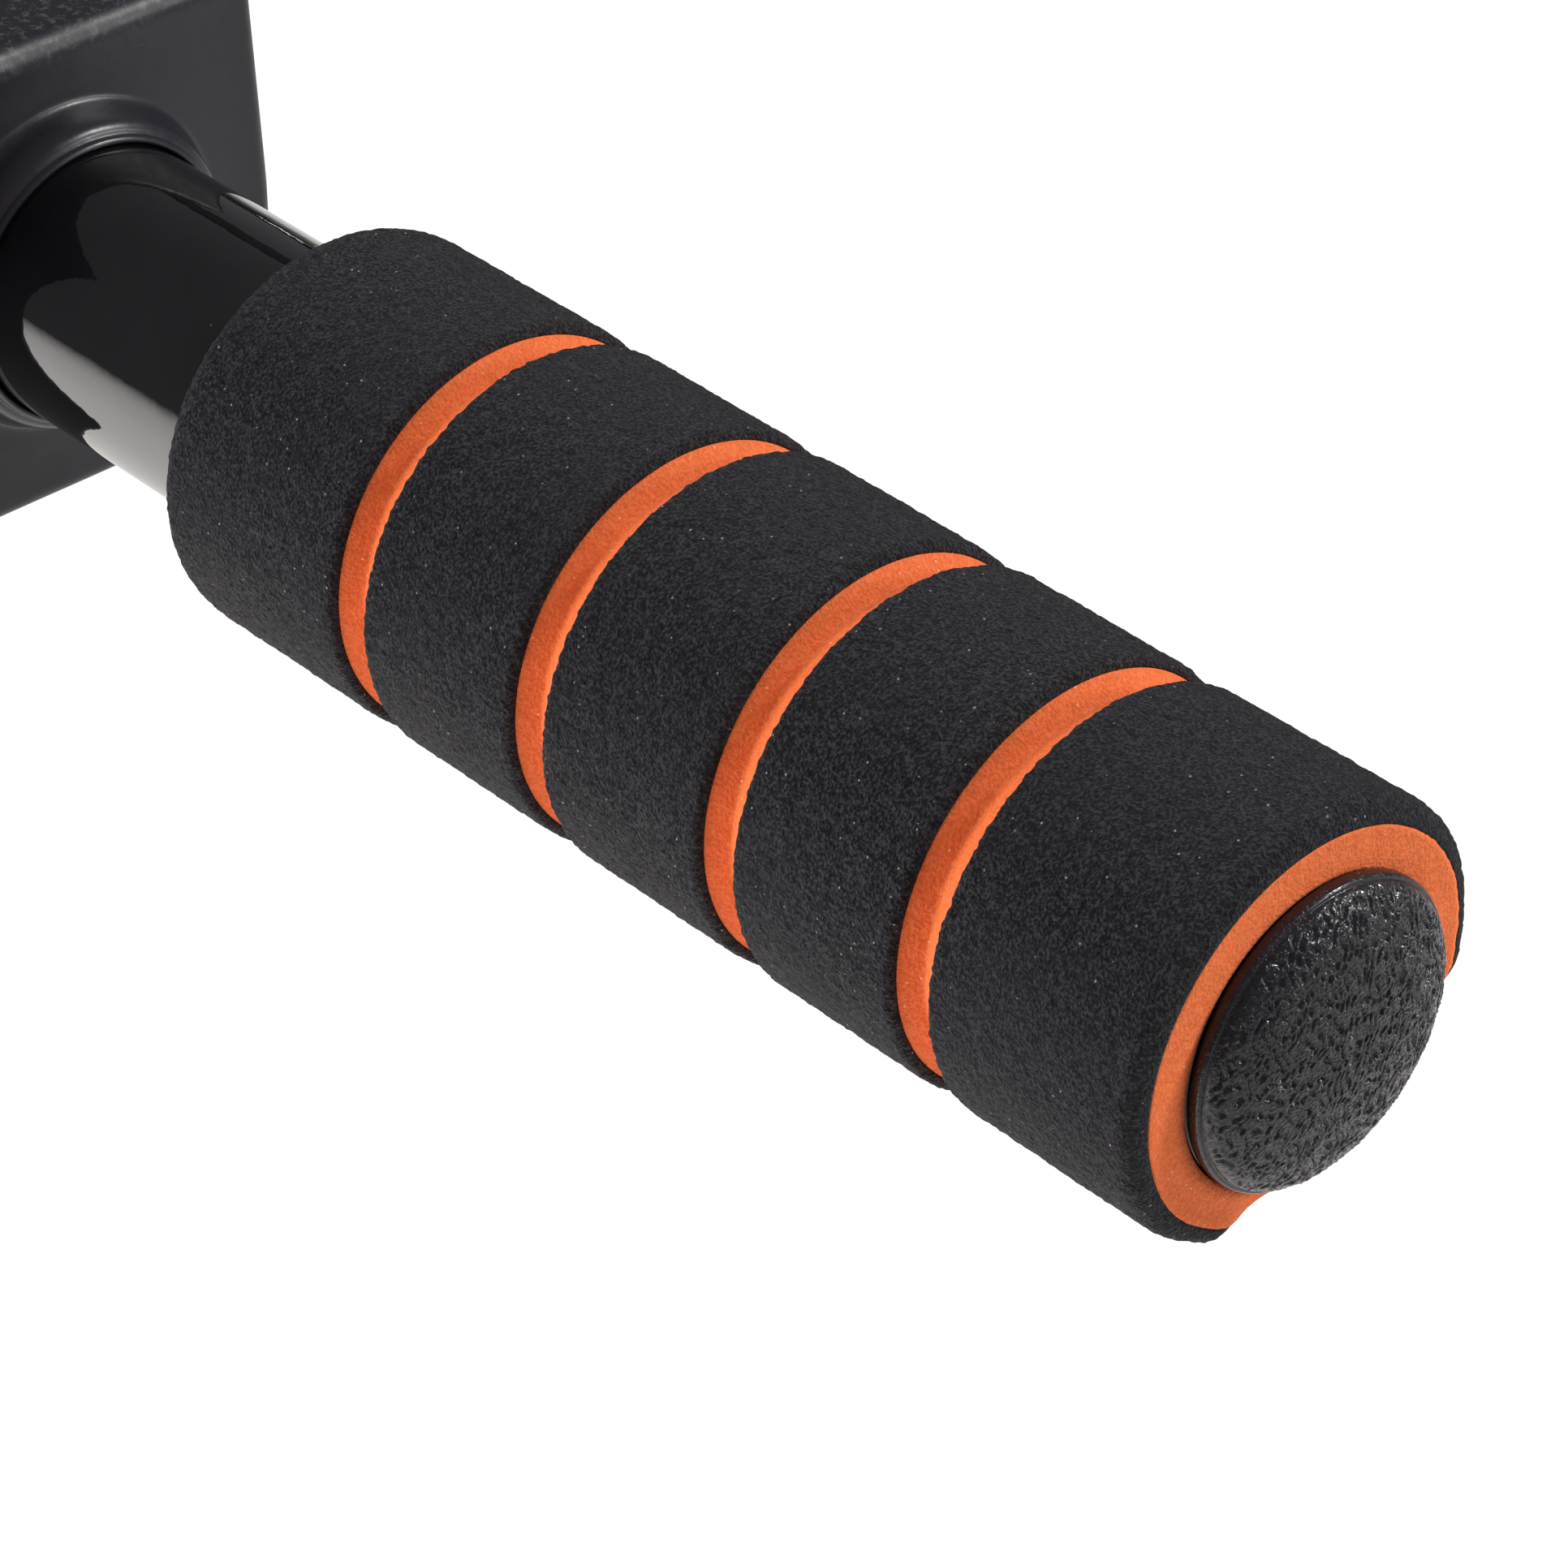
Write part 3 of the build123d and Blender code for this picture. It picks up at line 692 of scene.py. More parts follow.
def grip(tag, m, seed, fine):
    n, step = (640, 0.28) if fine else (180, 1.0)
    skin = Build()
    for k, (a0, a1) in enumerate(band_edges()):
        pr = skin_profile(a0, a1, k == 0, k == len(BANDS) - 1, step)
        g = spin(pr, n)
        flat = g.reshape(-1, 3)
        shown = (np.asarray(pr)[:, 1] > SKIN_R + 0.02)[:, None]
        d = 0.05 * fbm(flat * 0.16, 2, seed) + 0.075 * fbm(flat * 1.25, 3 if fine else 2, seed + 5)
        if fine:
            d = d + 0.085 * vnoise(flat * 2.2, seed + 9)
        # the turned lips are a little torn
        lip = np.exp(-((np.asarray(pr)[:, 0] - a0) / 0.8) ** 2) * (k > 0) + np.exp(-((np.asarray(pr)[:, 0] - a1) / 0.8) ** 2) * (k < len(BANDS) - 1)
        ragged = 0.10 * fbm(flat * 2.1, 2, seed + 31).reshape(g.shape[:2]) * lip[:, None]
        d = d.reshape(g.shape[:2]) + ragged
        skin.torus(to_world(m, end_cut(bump_out(g, pr, True, np.where(shown, d, 0.0), n), GRIP_L, fine, 1.25)))
    so = skin.object(f"{tag.format('skin')}_foam", BLACK_FOAM, "bar", "black_foam", [tag.format("skin")])
    core, pr = Build(), core_profile(step)
    g = spin(pr, n)
    flat = g.reshape(-1, 3)
    d = 0.05 * fbm(flat * 0.5, 2, seed + 50) + 0.06 * fbm(flat * 1.7, 3, seed + 60)
    keep = (np.asarray(pr)[:, 1] > BORE_R + 0.3)[:, None] & ~(np.abs(np.asarray(pr)[:, 1] - CORE_R) < 0.004)[:, None]
    core.torus(to_world(m, end_cut(bump_out(g, pr, True, np.where(keep, d.reshape(g.shape[:2]), 0.0), n), GRIP_L, fine)))
    co = core.object(f"{tag.format('core')}_foam", ORANGE_FOAM, "bar", "orange_foam", [tag.format("core")])


grip("wide_grip_{}_right", on_right(WIDE_START), 3, True)
grip("wide_grip_{}_left", on_left(WIDE_START), 103, False)
grip("inner_grip_{}_right", on_right(INNER_START), 203, False)
grip("inner_grip_{}_left", on_left(INNER_START), 303, False)
grip("handle_grip_{}_right", on_handle(HANDLE_X, HANDLE_START), 403, False)
grip("handle_grip_{}_left", on_handle(-HANDLE_X, HANDLE_START), 503, False)

# ------------------------------------------------------------------ plugs
GRAIN_SIZE = 32.0
G1 = field(1024, GRAIN_SIZE, 1.0, 11, 0.28)
G2 = field(1024, GRAIN_SIZE, 0.50, 12)
G3 = field(1024, GRAIN_SIZE, 3.5, 13)


def plug(tag, m, turn, fine):
    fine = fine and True
    n, rows = (560, 165) if fine else (150, 44)
    rise, reach, base = 3.6, 13.72, 1.3
    # the crown is a low half ellipsoid; its points are spread evenly along the curve
    q = np.linspace(0.0, 1.0, 4001)[:-1]
    cr_, ch = reach * np.cos(q * math.pi / 2), base + rise * np.sin(q * math.pi / 2)
    along = np.concatenate([[0], np.cumsum(np.hypot(np.diff(cr_), np.diff(ch)))])
    at = np.linspace(along[0] + 0.08, along[-1] - 0.12, rows)
    dome = list(zip(np.interp(at, along, ch), np.interp(at, along, cr_)))
    pr = [(-0.6, 9.9), (-0.6, 10.16), (-13.9, 10.16), (-13.9, 11.2), (-12.5, 11.9), (0.04, 11.94), (0.04, 13.9), (0.1, 14.1), (0.26, 14.2)]
    pr += [(0.6, 14.22), (0.9, 14.2)] + quarter(0.9, 13.9, 0.42, 0.3, 0, 90, 6)[1:] + [(1.31, 13.8)] + dome
    g = spin(pr, n)
    prn = np.asarray(pr)
    u, w = g[..., 1], g[..., 2]
    cu_, su_ = math.cos(turn), math.sin(turn)
    uu, ww = u * cu_ - w * su_, u * su_ + w * cu_
    wob = sample(G3, GRAIN_SIZE, uu, ww)
    g1 = sample(G1, GRAIN_SIZE, (uu + 0.35 * wob) * 1.4, (ww - 0.25 * wob) * 0.66)
    g2 = sample(G2, GRAIN_SIZE, uu, ww + 0.2 * wob) * 1.15
    h = -0.24 * smooth(g1, 0.35, 1.15) + 0.06 * smooth(g2, 0.5, 1.7) - 0.03 * smooth(-g2, 0.5, 1.7) + 0.02 * wob
    edge = smooth(np.broadcast_to(prn[:, :1], u.shape), 1.5, 2.3)
    edge = np.where((prn[:, 1] < reach)[:, None], edge, 0.0)
    g = bump_out(g, pr, False, h * edge, n)
    g[..., 1] += (0.35 if fine else 0.1) * smooth(g[..., 0], 0.0, 0.05)      # it went in a little off centre
    b = Build()
    b.barrel(to_world(m, g), to_world(m, [(-0.6, 0, 0)])[0], to_world(m, [(float(g[-1, :, 0].mean()), 0, 0)])[0])
    b.object(f"{tag}_plug", CAP, "bar", "cap_plastic", [tag])


plug("end_cap_right", on_right(MAIN_HALF), 0.3, True)
plug("end_cap_left", on_left(MAIN_HALF), 1.1, False)
plug("handle_cap_right", on_handle(HANDLE_X, HANDLE_END), 2.2, False)
plug("handle_cap_left", on_handle(-HANDLE_X, HANDLE_END), 3.0, False)
plug("arm_cap_right", on_arm(ARM_X, ARM_TOP), 4.4, False)
plug("arm_cap_left", on_arm(-ARM_X, ARM_TOP), 5.1, False)

# ------------------------------------------------------------------ tubes
NT = 192


def tube_profile(x0, x1, step):
    e = 0.35
    return dense([(x0 + e, R), (x1 - e, R)], step) + [(x1, R - e), (x1, RI + e)] + dense([(x1 - e, RI), (x0 + e, RI)], step * 3) + [(x0, RI + e), (x0, R - e)]


b = Build()
g = spin(tube_profile(-MAIN_HALF, MAIN_HALF, 6.0), NT)
b.torus(to_world(place((0, BAR_Y, BAR_Z), (1, 0, 0), (0, 1, 0), (0, 0, 1)), g))
b.object("main_tube_painted", ENAMEL, "bar", "black_enamel", ["main_tube"], sharp=50)

for side, sx in (("right", 1), ("left", -1)):
    # handle: coped end follows the main tube
    t = ring_angles(NT)
    x, z = np.sin(t), np.cos(t)
    rows = []
    reach = np.linspace(0, 1, 40)

    def cope(r):
        return np.minimum(-np.sqrt(np.maximum(R * R - (r * z) ** 2, 0)), -4.0 * np.abs(z) ** 8)

    for k in reach:                                   # outer wall, from the cope out to the end
        y0 = BAR_Y + cope(R)
        rows.append(np.stack([sx * HANDLE_X + R * x, y0 + (HANDLE_END + 0.3 - y0) * k, BAR_Z + R * z], -1))
    for rr in (R - 0.35, RI + 0.35):
        rows.append(np.stack([sx * HANDLE_X + rr * x, np.full_like(t, HANDLE_END), BAR_Z + rr * z], -1))
    for k in reach[::-1]:
        y0 = BAR_Y + cope(RI) - 0.5
        rows.append(np.stack([sx * HANDLE_X + RI * x, y0 + (HANDLE_END + 0.3 - y0) * k, BAR_Z + RI * z], -1))
    b = Build()
    b.torus(np.array(rows))
    b.object(f"handle_tube_{side}_painted", ENAMEL, "bar", "black_enamel", [f"handle_tube_{side}"], sharp=50)

    # arm: upright, bend, forward run coped to the saddle
    def centre(s):
        up = ARM_TOP - (BAR_Z + ARM_BEND)
        arc = ARM_BEND * math.pi / 2
        if s <= up:
            return (ARM_Y, ARM_TOP - s), (0.0, -1.0)
        if s <= up + arc:
            q = (s - up) / ARM_BEND
            return (ARM_Y - ARM_BEND + ARM_BEND * math.cos(q), BAR_Z + ARM_BEND - ARM_BEND * math.sin(q)), (-math.sin(q), -math.cos(q))
        return (ARM_Y - ARM_BEND - (s - up - arc), BAR_Z), (-1.0, 0.0)

    up, arc = ARM_TOP - (BAR_Z + ARM_BEND), ARM_BEND * math.pi / 2
    run_end = up + arc + (ARM_Y - ARM_BEND) - (BAR_Y + SADDLE_R)
    stations = np.concatenate([np.linspace(0.3, up, 16)[:-1], np.linspace(up, up + arc, 40)[:-1], np.linspace(up + arc, run_end, 14)])

    def arm_ring(s, r, end=False):
        (cy, cz), (dy, dz) = centre(s)
        if end:                                       # meet the saddle's round back
            y = BAR_Y + np.sqrt(np.maximum(SADDLE_R ** 2 - (r * z) ** 2, 0))
            return np.stack([sx * ARM_X + r * x, y, BAR_Z + r * z], -1)
        nx = (dz, -dy)                                # across the path, in Y, Z
        ny, nz = nx[0] * -1, nx[1] * -1
        return np.stack([sx * ARM_X + r * x, cy - r * z * ny * -1 * -1, cz - r * z * nz * -1 * -1], -1)

    rows = [arm_ring(0.3, R)] + [arm_ring(s, R) for s in stations[1:-1]] + [arm_ring(0, R, True), arm_ring(0, RI, True)]
    rows += [arm_ring(s, RI) for s in stations[-2::-1]] + [arm_ring(0.0, RI + 0.35), arm_ring(0.0, R - 0.35)]
    b = Build()
    b.torus(np.array(rows))
    b.object(f"arm_tube_{side}_painted", ENAMEL, "bar", "black_enamel", [f"arm_tube_{side}"], sharp=50)

    # saddle: half shell with rounded edges
    half_a = math.acos(4.0 / SADDLE_R)
    sec = []
    ri, ro = R + 0.02, SADDLE_R
    e = 0.5
    for q in np.linspace(-half_a, half_a, 49):
        sec.append((ro, q))
    sec += [(ro - e, half_a + 0.022), (ri + e, half_a + 0.022)]
    for q in np.linspace(half_a, -half_a, 49):
        sec.append((ri, q))
    sec += [(ri + e, -half_a - 0.022), (ro - e, -half_a - 0.022)]
    sec = np.array(sec)
    midr = (ri + ro) / 2
    xs = [(-SADDLE_HALF, 0.62)] + [(-SADDLE_HALF + 0.15, 0.85), (-SADDLE_HALF + 0.5, 1.0)] + [(q, 1.0) for q in np.linspace(-SADDLE_HALF + 2, SADDLE_HALF - 2, 22)]
    xs += [(SADDLE_HALF - 0.5, 1.0), (SADDLE_HALF - 0.15, 0.85), (SADDLE_HALF, 0.62)]
    rows = []
    for px, sc in xs:
        rr = midr + (sec[:, 0] - midr) * sc
        rows.append(np.stack([np.full(len(sec), sx * ARM_X + px), BAR_Y + rr * np.cos(sec[:, 1]), BAR_Z + rr * np.sin(sec[:, 1])], -1))
    b = Build()
    rows = np.array(rows)
    b.barrel(rows, rows[0].mean(0) * 0 + [sx * ARM_X - SADDLE_HALF, BAR_Y + midr, BAR_Z], [sx * ARM_X + SADDLE_HALF, BAR_Y + midr, BAR_Z])
    # the fans of a half shell would cross its hollow, so the ends are closed section by section instead
    b.f = [f for f in b.f if len(f) == 4]
    nsec = len(sec)
    for base in (0, (len(xs) - 1) * nsec):
        for i in range(48):
            b.f.append([base + i, base + i + 1, base + 51 + 47 - i, base + 51 + 48 - i])
        b.f.append([base + 48, base + 49, base + 50, base + 51])
        b.f.append([base + 99, base + 100, base + 101, base + 0])
    b.v[-1] = b.v[-1][:0]
    b.object(f"arm_saddle_{side}_painted", ENAMEL, "bar", "black_enamel", [f"arm_saddle_{side}"], sharp=40)


# ------------------------------------------------------------------ weld beads (painted over)
def bead(name, path, outward, r, seed):
    """A run of weld along a closed path of points, with the ripples of its puddles."""
    p = np.asarray(path, float)
    n = len(p)
    d = np.roll(p, -1, 0) - np.roll(p, 1, 0)
    d /= np.linalg.norm(d, axis=1, keepdims=True)
    o = np.asarray(outward, float)
    o = o - (o * d).sum(1, keepdims=True) * d
    o /= np.linalg.norm(o, axis=1, keepdims=True)
    s = np.cross(d, o)
    length = np.concatenate([[0], np.cumsum(np.linalg.norm(np.roll(p, -1, 0) - p, axis=1))])[:-1]
    total = length[-1] + np.linalg.norm(p[0] - p[-1])
    k = round(total / 1.9)
    ph = (length / total * k) % 1.0
    ripple = 0.16 * (1 - (2 * ph - 1) ** 2) + 0.12 * vnoise(p * 0.3, seed)
    rows = []
    for q in ring_angles(16):
        rr = r * (1 + ripple * (0.4 + 0.6 * max(0.0, math.cos(q))))
        rows.append(p + o * (rr * math.cos(q) * 0.8)[:, None] + s * (rr * math.sin(q) * 1.15)[:, None])
    b = Build()
    b.torus(np.array(rows))
    return b.object(name, ENAMEL, "bar", "black_enamel", [])


for side, sx in (("right", 1), ("left", -1)):
    q = ring_angles(240)
    hx, hz = (R + 0.2) * np.sin(q), (R + 0.2) * np.cos(q)
    hy = -np.sqrt((R * np.sin(q)) ** 2 + 2.2)
    path = np.stack([sx * HANDLE_X + hx, BAR_Y + hy - 0.2, BAR_Z + hz], -1)
    out = np.stack([np.sin(q), -0.55 * np.abs(np.sin(q)) - 0.15, np.cos(q) * 1.1], -1)
    bead(f"handle_weld_{side}", path, out, 1.9, 70 + sx)
    ay = np.sqrt(np.maximum(SADDLE_R ** 2 - (R * np.cos(q)) ** 2, 0))
    path = np.stack([sx * ARM_X + (R + 0.2) * np.sin(q), BAR_Y + ay + 0.2, BAR_Z + (R + 0.2) * np.cos(q)], -1)
    out = np.stack([np.sin(q), 0.75 + 0 * q, np.cos(q)], -1)
    bead(f"arm_weld_{side}", path, out, 1.9, 80 + sx)


# ------------------------------------------------------------------ door pads
def pad_outline(per_side=26, per_corner=12, rc=3.0):
    """Points round the block's section as (corner centre, unit direction), so it can be inset: side by side from the top."""
    out = []
    hy, top, bot = PAD_HY, PAD_TOP, PAD_BOT
    corners = [(hy - rc, top - rc, 90), (hy - rc, -bot + rc, 0), (-hy + rc, -bot + rc, -90), (-hy + rc, top - rc, -180)]
    for k, (cy, cz, a0) in enumerate(corners):
        py, pz, _ = corners[k - 1]
        # the side that leads to this corner
        ang = math.radians(a0)
        dy, dz = (math.cos(ang), math.sin(ang))
        for i in range(per_side):
            f = i / per_side
            out.append((py + (cy - py) * f, pz + (cz - pz) * f, dy, dz))
        for i in range(per_corner):
            q = math.radians(a0 - 90 * i / per_corner)
            out.append((cy, cz, math.cos(q), math.sin(q)))
    return np.array(out), rc


def lean(g):
    """The sides of the moulding draw in by 1.2 mm from the tube's height to the top."""
    g = g.copy()
    y, z = g[..., 1] - BAR_Y, g[..., 2] - BAR_Z
    r = np.hypot(y, z)
    narrow = 1.0 - 1.2 * np.clip(z / PAD_TOP, 0.0, 1.0) / PAD_HY
    g[..., 1] = BAR_Y + y * (1 + (narrow - 1) * smooth(r, 18.0, 22.5))
    return g


def door_pad(tag, sx, seed):
    sec, rc = pad_outline()
    n = len(sec)
    cy, cz, dy, dz = sec.T
    edge_r = 1.4 + 1.1 * smooth(dz, 0.35, 0.95)       # the top edges are rounder
    face_r = edge_r
    base = np.hypot(cy + dy * rc, cz + dz * rc)
    th = np.arctan2(cz + dz * rc, cy + dy * rc)

    def square(inset):
        k = rc - inset
        return cy + dy * k, cz + dz * k

    def circle(r):
        return r * np.cos(th), r * np.sin(th)

    def end(sign):
        """From the bore out over the collar and face to the side, as rows of (height off the face, y, z)."""
        rows = []
        k = COLLAR_H / 5.6
        col = [(0.6, 14.07), (COLLAR_H - 0.35, 14.07), (COLLAR_H - 0.1, 14.2), (COLLAR_H, 14.42), (COLLAR_H - 0.05, 14.66), (COLLAR_H - 0.3, 14.82),
               (5.0 * k, 14.87), (4.82 * k, 14.9), (4.74 * k, 15.0), (4.70 * k, 15.12), (4.6 * k, 15.32), (4.35 * k, 15.6), (4.0 * k, 15.82), (3.5 * k, 16.02),
               (2.8 * k, 16.22), (2.0 * k, 16.40), (1.3 * k, 16.55), (0.8, 16.7), (0.42, 16.88), (0.18, 17.1), (0.05, 17.35), (0.0, 17.7)]
        for h, r in col:
            y, z = circle(r)
            rows.append((np.full(n, h), y, z))
        y0, z0 = circle(17.7)
        y1, z1 = square(face_r)
        for f in np.linspace(0, 1, 14)[1:]:
            # the face is very slightly dished
            rows.append((np.full(n, -0.12 * math.sin(math.pi * f)), y0 + (y1 - y0) * f, z0 + (z1 - z0) * f))
        for q in np.linspace(0, math.pi / 2, 9)[1:]:
            y, z = square(face_r * (1 - math.sin(q)))
            rows.append((-face_r * (1 - math.cos(q)), y, z))
        return rows

    rows = []
    front, back = end(1), end(-1)
    for h, y, z in front:
        rows.append(np.stack([PAD_X1 + h, BAR_Y + y, BAR_Z + z], -1))
    y, z = square(0.0)
    x_a, x_b = PAD_X1 - face_r, PAD_X0 + face_r
    for f in np.linspace(0, 1, 32)[1:-1]:
        sink = 0.10 * math.sin(math.pi * f)           # moulded sides sink a touch
        rows.append(np.stack([x_a + (x_b - x_a) * f, BAR_Y + y - dy * sink * (dy < 0.7), BAR_Z + z - dz * sink], -1))
    for h, y, z in back[::-1]:
        rows.append(np.stack([PAD_X0 - h, BAR_Y + y, BAR_Z + z], -1))
    y, z = circle(14.07)
    for f in np.linspace(0, 1, 10)[1:-1]:
        rows.append(np.stack([np.full(n, PAD_X0 - 0.6 + (PAD_X1 - PAD_X0 + 1.2) * f), BAR_Y + y, BAR_Z + z], -1))
    g = np.array(rows)
    flat = g.reshape(-1, 3)
    wob = 0.035 * fbm(flat * 0.09, 2, seed).reshape(g.shape[:2])
    rad = g - np.stack([g[..., 0], np.full(g.shape[:2], BAR_Y), np.full(g.shape[:2], BAR_Z)], -1)
    rr = np.linalg.norm(rad, axis=2, keepdims=True)
    g = g + rad / rr * (wob * smooth(rr[..., 0], 15.5, 17.5) * -1 - 0.0)[..., None] * (rr > 14.5)
    g = lean(g)
    if sx < 0:
        g = g * np.array([-1, 1, 1])
    b = Build()
    b.torus(g)
    ob = b.object(f"{tag}_block", PAD, "right_pad" if sx > 0 else "left_pad", "pad_rubber", [tag], sharp=60)
    return ob


door_pad("door_pad_right", 1, 601)
door_pad("door_pad_left", -1, 611)


# ------------------------------------------------------------------ ledge
def rounded(points, r, k=4):
    """A closed outline with each corner rounded; r is one radius or one for each corner."""
    pts = [np.array(p, float) for p in points]
    rs = r if isinstance(r, (list, tuple)) else [r] * len(pts)
    out = []
    for i, p in enumerate(pts):
        a, c = pts[i - 1], pts[(i + 1) % len(pts)]
        u, w = (a - p) / np.linalg.norm(a - p), (c - p) / np.linalg.norm(c - p)
        if np.linalg.norm(u + w) < 1e-3:              # in line with its neighbours: nothing to round
            out.append(p)
            continue
        half = math.acos(max(-1, min(1, float(u @ w)))) / 2
        cut = rs[i] / math.tan(half)
        s, e = p + u * cut, p + w * cut
        mid = p + (u + w) / np.linalg.norm(u + w) * rs[i] / math.sin(half)
        v0, v1 = s - mid, e - mid
        for f in np.linspace(0, 1, k + 1):
            v = v0 * (1 - f) + v1 * f
            out.append(mid + v / np.linalg.norm(v) * rs[i])
    return np.array(out)


def extrusion(name, outline, x0, x1, mat, slot, nodes, pieces=40, bevel=0.3, sharp=35, wobble=0.0):
    """A profile in Y, Z run along X, with its ends closed by a face each."""
    xs = np.concatenate([[x0], np.linspace(x0 + bevel, x1 - bevel, pieces), [x1]])
    c = outline.mean(0)
    b = Build()
    n = len(outline)
    nrm = np.roll(outline, -1, 0) - np.roll(outline, 1, 0)
    nrm = np.stack([nrm[:, 1], -nrm[:, 0]], -1)
    nrm /= np.maximum(np.linalg.norm(nrm, axis=1, keepdims=True), 1e-9)
    area = 0.5 * np.sum(outline[:, 0] * np.roll(outline[:, 1], -1) - np.roll(outline[:, 0], -1) * outline[:, 1])
    nrm *= np.sign(area)
    rows = []
    for i, x in enumerate(xs):
        o = outline - nrm * (bevel if i in (0, len(xs) - 1) else 0.0)
        rows.append(np.stack([np.full(n, x), o[:, 0], o[:, 1]], -1))
    g = np.array(rows)
    s = b._take(g)
    for i in range(len(xs) - 1):
        for j in range(n):
            b.f.append([s + i * n + j, s + (i + 1) * n + j, s + (i + 1) * n + (j + 1) % n, s + i * n + (j + 1) % n])
    b.f.append([s + j for j in range(n)])
    b.f.append([s + (len(xs) - 1) * n + j for j in range(n)][::-1])
    return b.object(name, mat, "bar", slot, nodes, sharp=sharp)


alo, ahi = mmbox("ledge_angle")
T = 3.0
y0, y1, z0, z1 = alo[1], ahi[1], alo[2], ahi[2]
outline = rounded([(y0, z0), (y1, z0), (y1, z1), (y1 - T, z1), (y1 - T, z0 + T), (y0, z0 + T)], [0.5, 2.0, 0.8, 0.8, 2.5, 0.5], 5)
extrusion("ledge_angle_painted", outline, alo[0], ahi[0], ENAMEL, "black_enamel", ["ledge_angle"])
plo, phi = mmbox("ledge_pad")
py0, py1 = plo[1], phi[1]
ribs = []
k = 9
pitch = (py1 - py0 - 5) / k
for i in range(k):
    a = py0 + 2.5 + i * pitch
    ribs += [(a + 0.2, 0.0), (a + pitch * 0.55, 0.0), (a + pitch * 0.68, 0.7), (a + pitch * 0.92, 0.7)]
top = z0 + T
outline = [(py0, 0.0)] + ribs + [(py1, 0.0), (py1, z0 - 0.05), (y0 - 0.05, z0 - 0.05), (y0 - 0.05, top + 0.05), (py0 + 11, top + 0.05), (py0 + 11, phi[2]), (py0, phi[2])]
radii = [1.2] + [0.12] * len(ribs) + [0.8, 0.3, 0.1, 0.1, 0.2, 0.8, 1.6]
extrusion("ledge_pad_strip", rounded(outline, radii, 3), plo[0], phi[0], STRIP, "strip_rubber", ["ledge_pad"], pieces=60, bevel=0.08)

for n_ in ("ledge_end_cap_left", "ledge_end_cap_right"):
    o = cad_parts[n_]
    o.data.materials.clear()
    o.data.materials.append(CAP)
    bv = o.modifiers.new("edge", "BEVEL")
    bv.width, bv.segments, bv.limit_method, bv.angle_limit = 0.0003, 3, "ANGLE", math.radians(30)


# ------------------------------------------------------------------ fasteners
def hex_radius(q, af):
    return (af / 2) / np.cos((q + math.pi / 6) % (math.pi / 3) - math.pi / 6)


def lathe_rows(rows, m, b, first, last):
    b.barrel(to_world(m, np.array(rows)), to_world(m, [first])[0], to_world(m, [last])[0])


def bolt(b, m, length, af=13.0, head=5.3, thread_from=27.0, turn=0.0):
    """Local +X runs from the head's seat to the tip."""
    n = 72
    q = ring_angles(n)
    hx = hex_radius(q + turn, af)
    rows = []

    def row(a, r):
        r = np.broadcast_to(r, (n,))
        rows.append(np.stack([np.broadcast_to(a, (n,)), r * np.sin(q), r * np.cos(q)], -1))

    row(-head, np.full(n, af * 0.30))
    row(-head + 0.02, np.full(n, af * 0.45))
    for d in np.linspace(0, 1, 7):
        depth = d * 0.9
        row(-head + 0.04 + depth, np.minimum(hx, af * 0.475 + depth * 1.732))
    row(-1.0, hx)
    row(-0.45, np.minimum(hx, af * 0.535))
    row(0.0, np.full(n, af * 0.49))
    row(0.02, np.full(n, 4.0))
    for a in np.linspace(0.5, thread_from, 5):
        row(a, np.full(n, 3.97))
    pitch = 1.25
    for a in np.arange(thread_from + 0.2, length - 0.7, pitch / 10):
        ph = (a / pitch - q / (2 * math.pi)) % 1.0
        prof = np.clip(np.abs(ph - 0.5) * 2.6 - 0.15, 0, 1)
        blend = min(1.0, (a - thread_from) / pitch)
        row(a, 3.98 - 0.62 * prof * blend)
    row(length - 0.6, np.full(n, 3.35))
    row(length - 0.05, np.full(n, 2.95))
    row(length, np.full(n, 2.6))
    lathe_rows(rows, m, b, (-head, 0, 0), (length, 0, 0))


def nut(b, m, af=13.0, h=6.2, ring_r=5.6, ring_h=1.8, turn=0.0):
    n = 72
    q = ring_angles(n)
    hx = hex_radius(q + turn, af)
    rows = []

    def row(a, r):
        r = np.broadcast_to(r, (n,))
        rows.append(np.stack([np.broadcast_to(a, (n,)), r * np.sin(q), r * np.cos(q)], -1))

    row(0.0, 4.05)
    row(0.0, af * 0.47)
    for d in np.linspace(0, 1, 6):
        row(0.02 + d * 0.8, np.minimum(hx, af * 0.475 + d * 0.8 * 1.732))
    row(h - 1.1, hx)
    for d in np.linspace(1, 0, 6):
        row(h - d * 0.8, np.minimum(hx, af * 0.465 + d * 0.8 * 1.732))
    row(h + 0.02, ring_r + 0.12)
    row(h + 0.25, ring_r)
    row(h + ring_h - 0.5, ring_r)
    row(h + ring_h - 0.12, ring_r - 0.25)
    row(h + ring_h, ring_r - 0.6)
    row(h + ring_h, 4.35)
    row(h + ring_h - 0.4, 4.05)
    g = np.array(rows)
    b.torus(to_world(m, g))


def flat_washer(b, m, ro=8.0, ri=4.2, t=1.6):
    pr = [(0.0, ri + 0.15), (0.0, ro - 0.35), (0.1, ro - 0.1), (0.35, ro), (t - 0.35, ro), (t - 0.1, ro - 0.1), (t, ro - 0.35), (t, ri + 0.2), (t - 0.2, ri), (0.15, ri)]
    b.torus(to_world(m, spin(pr, 72)))


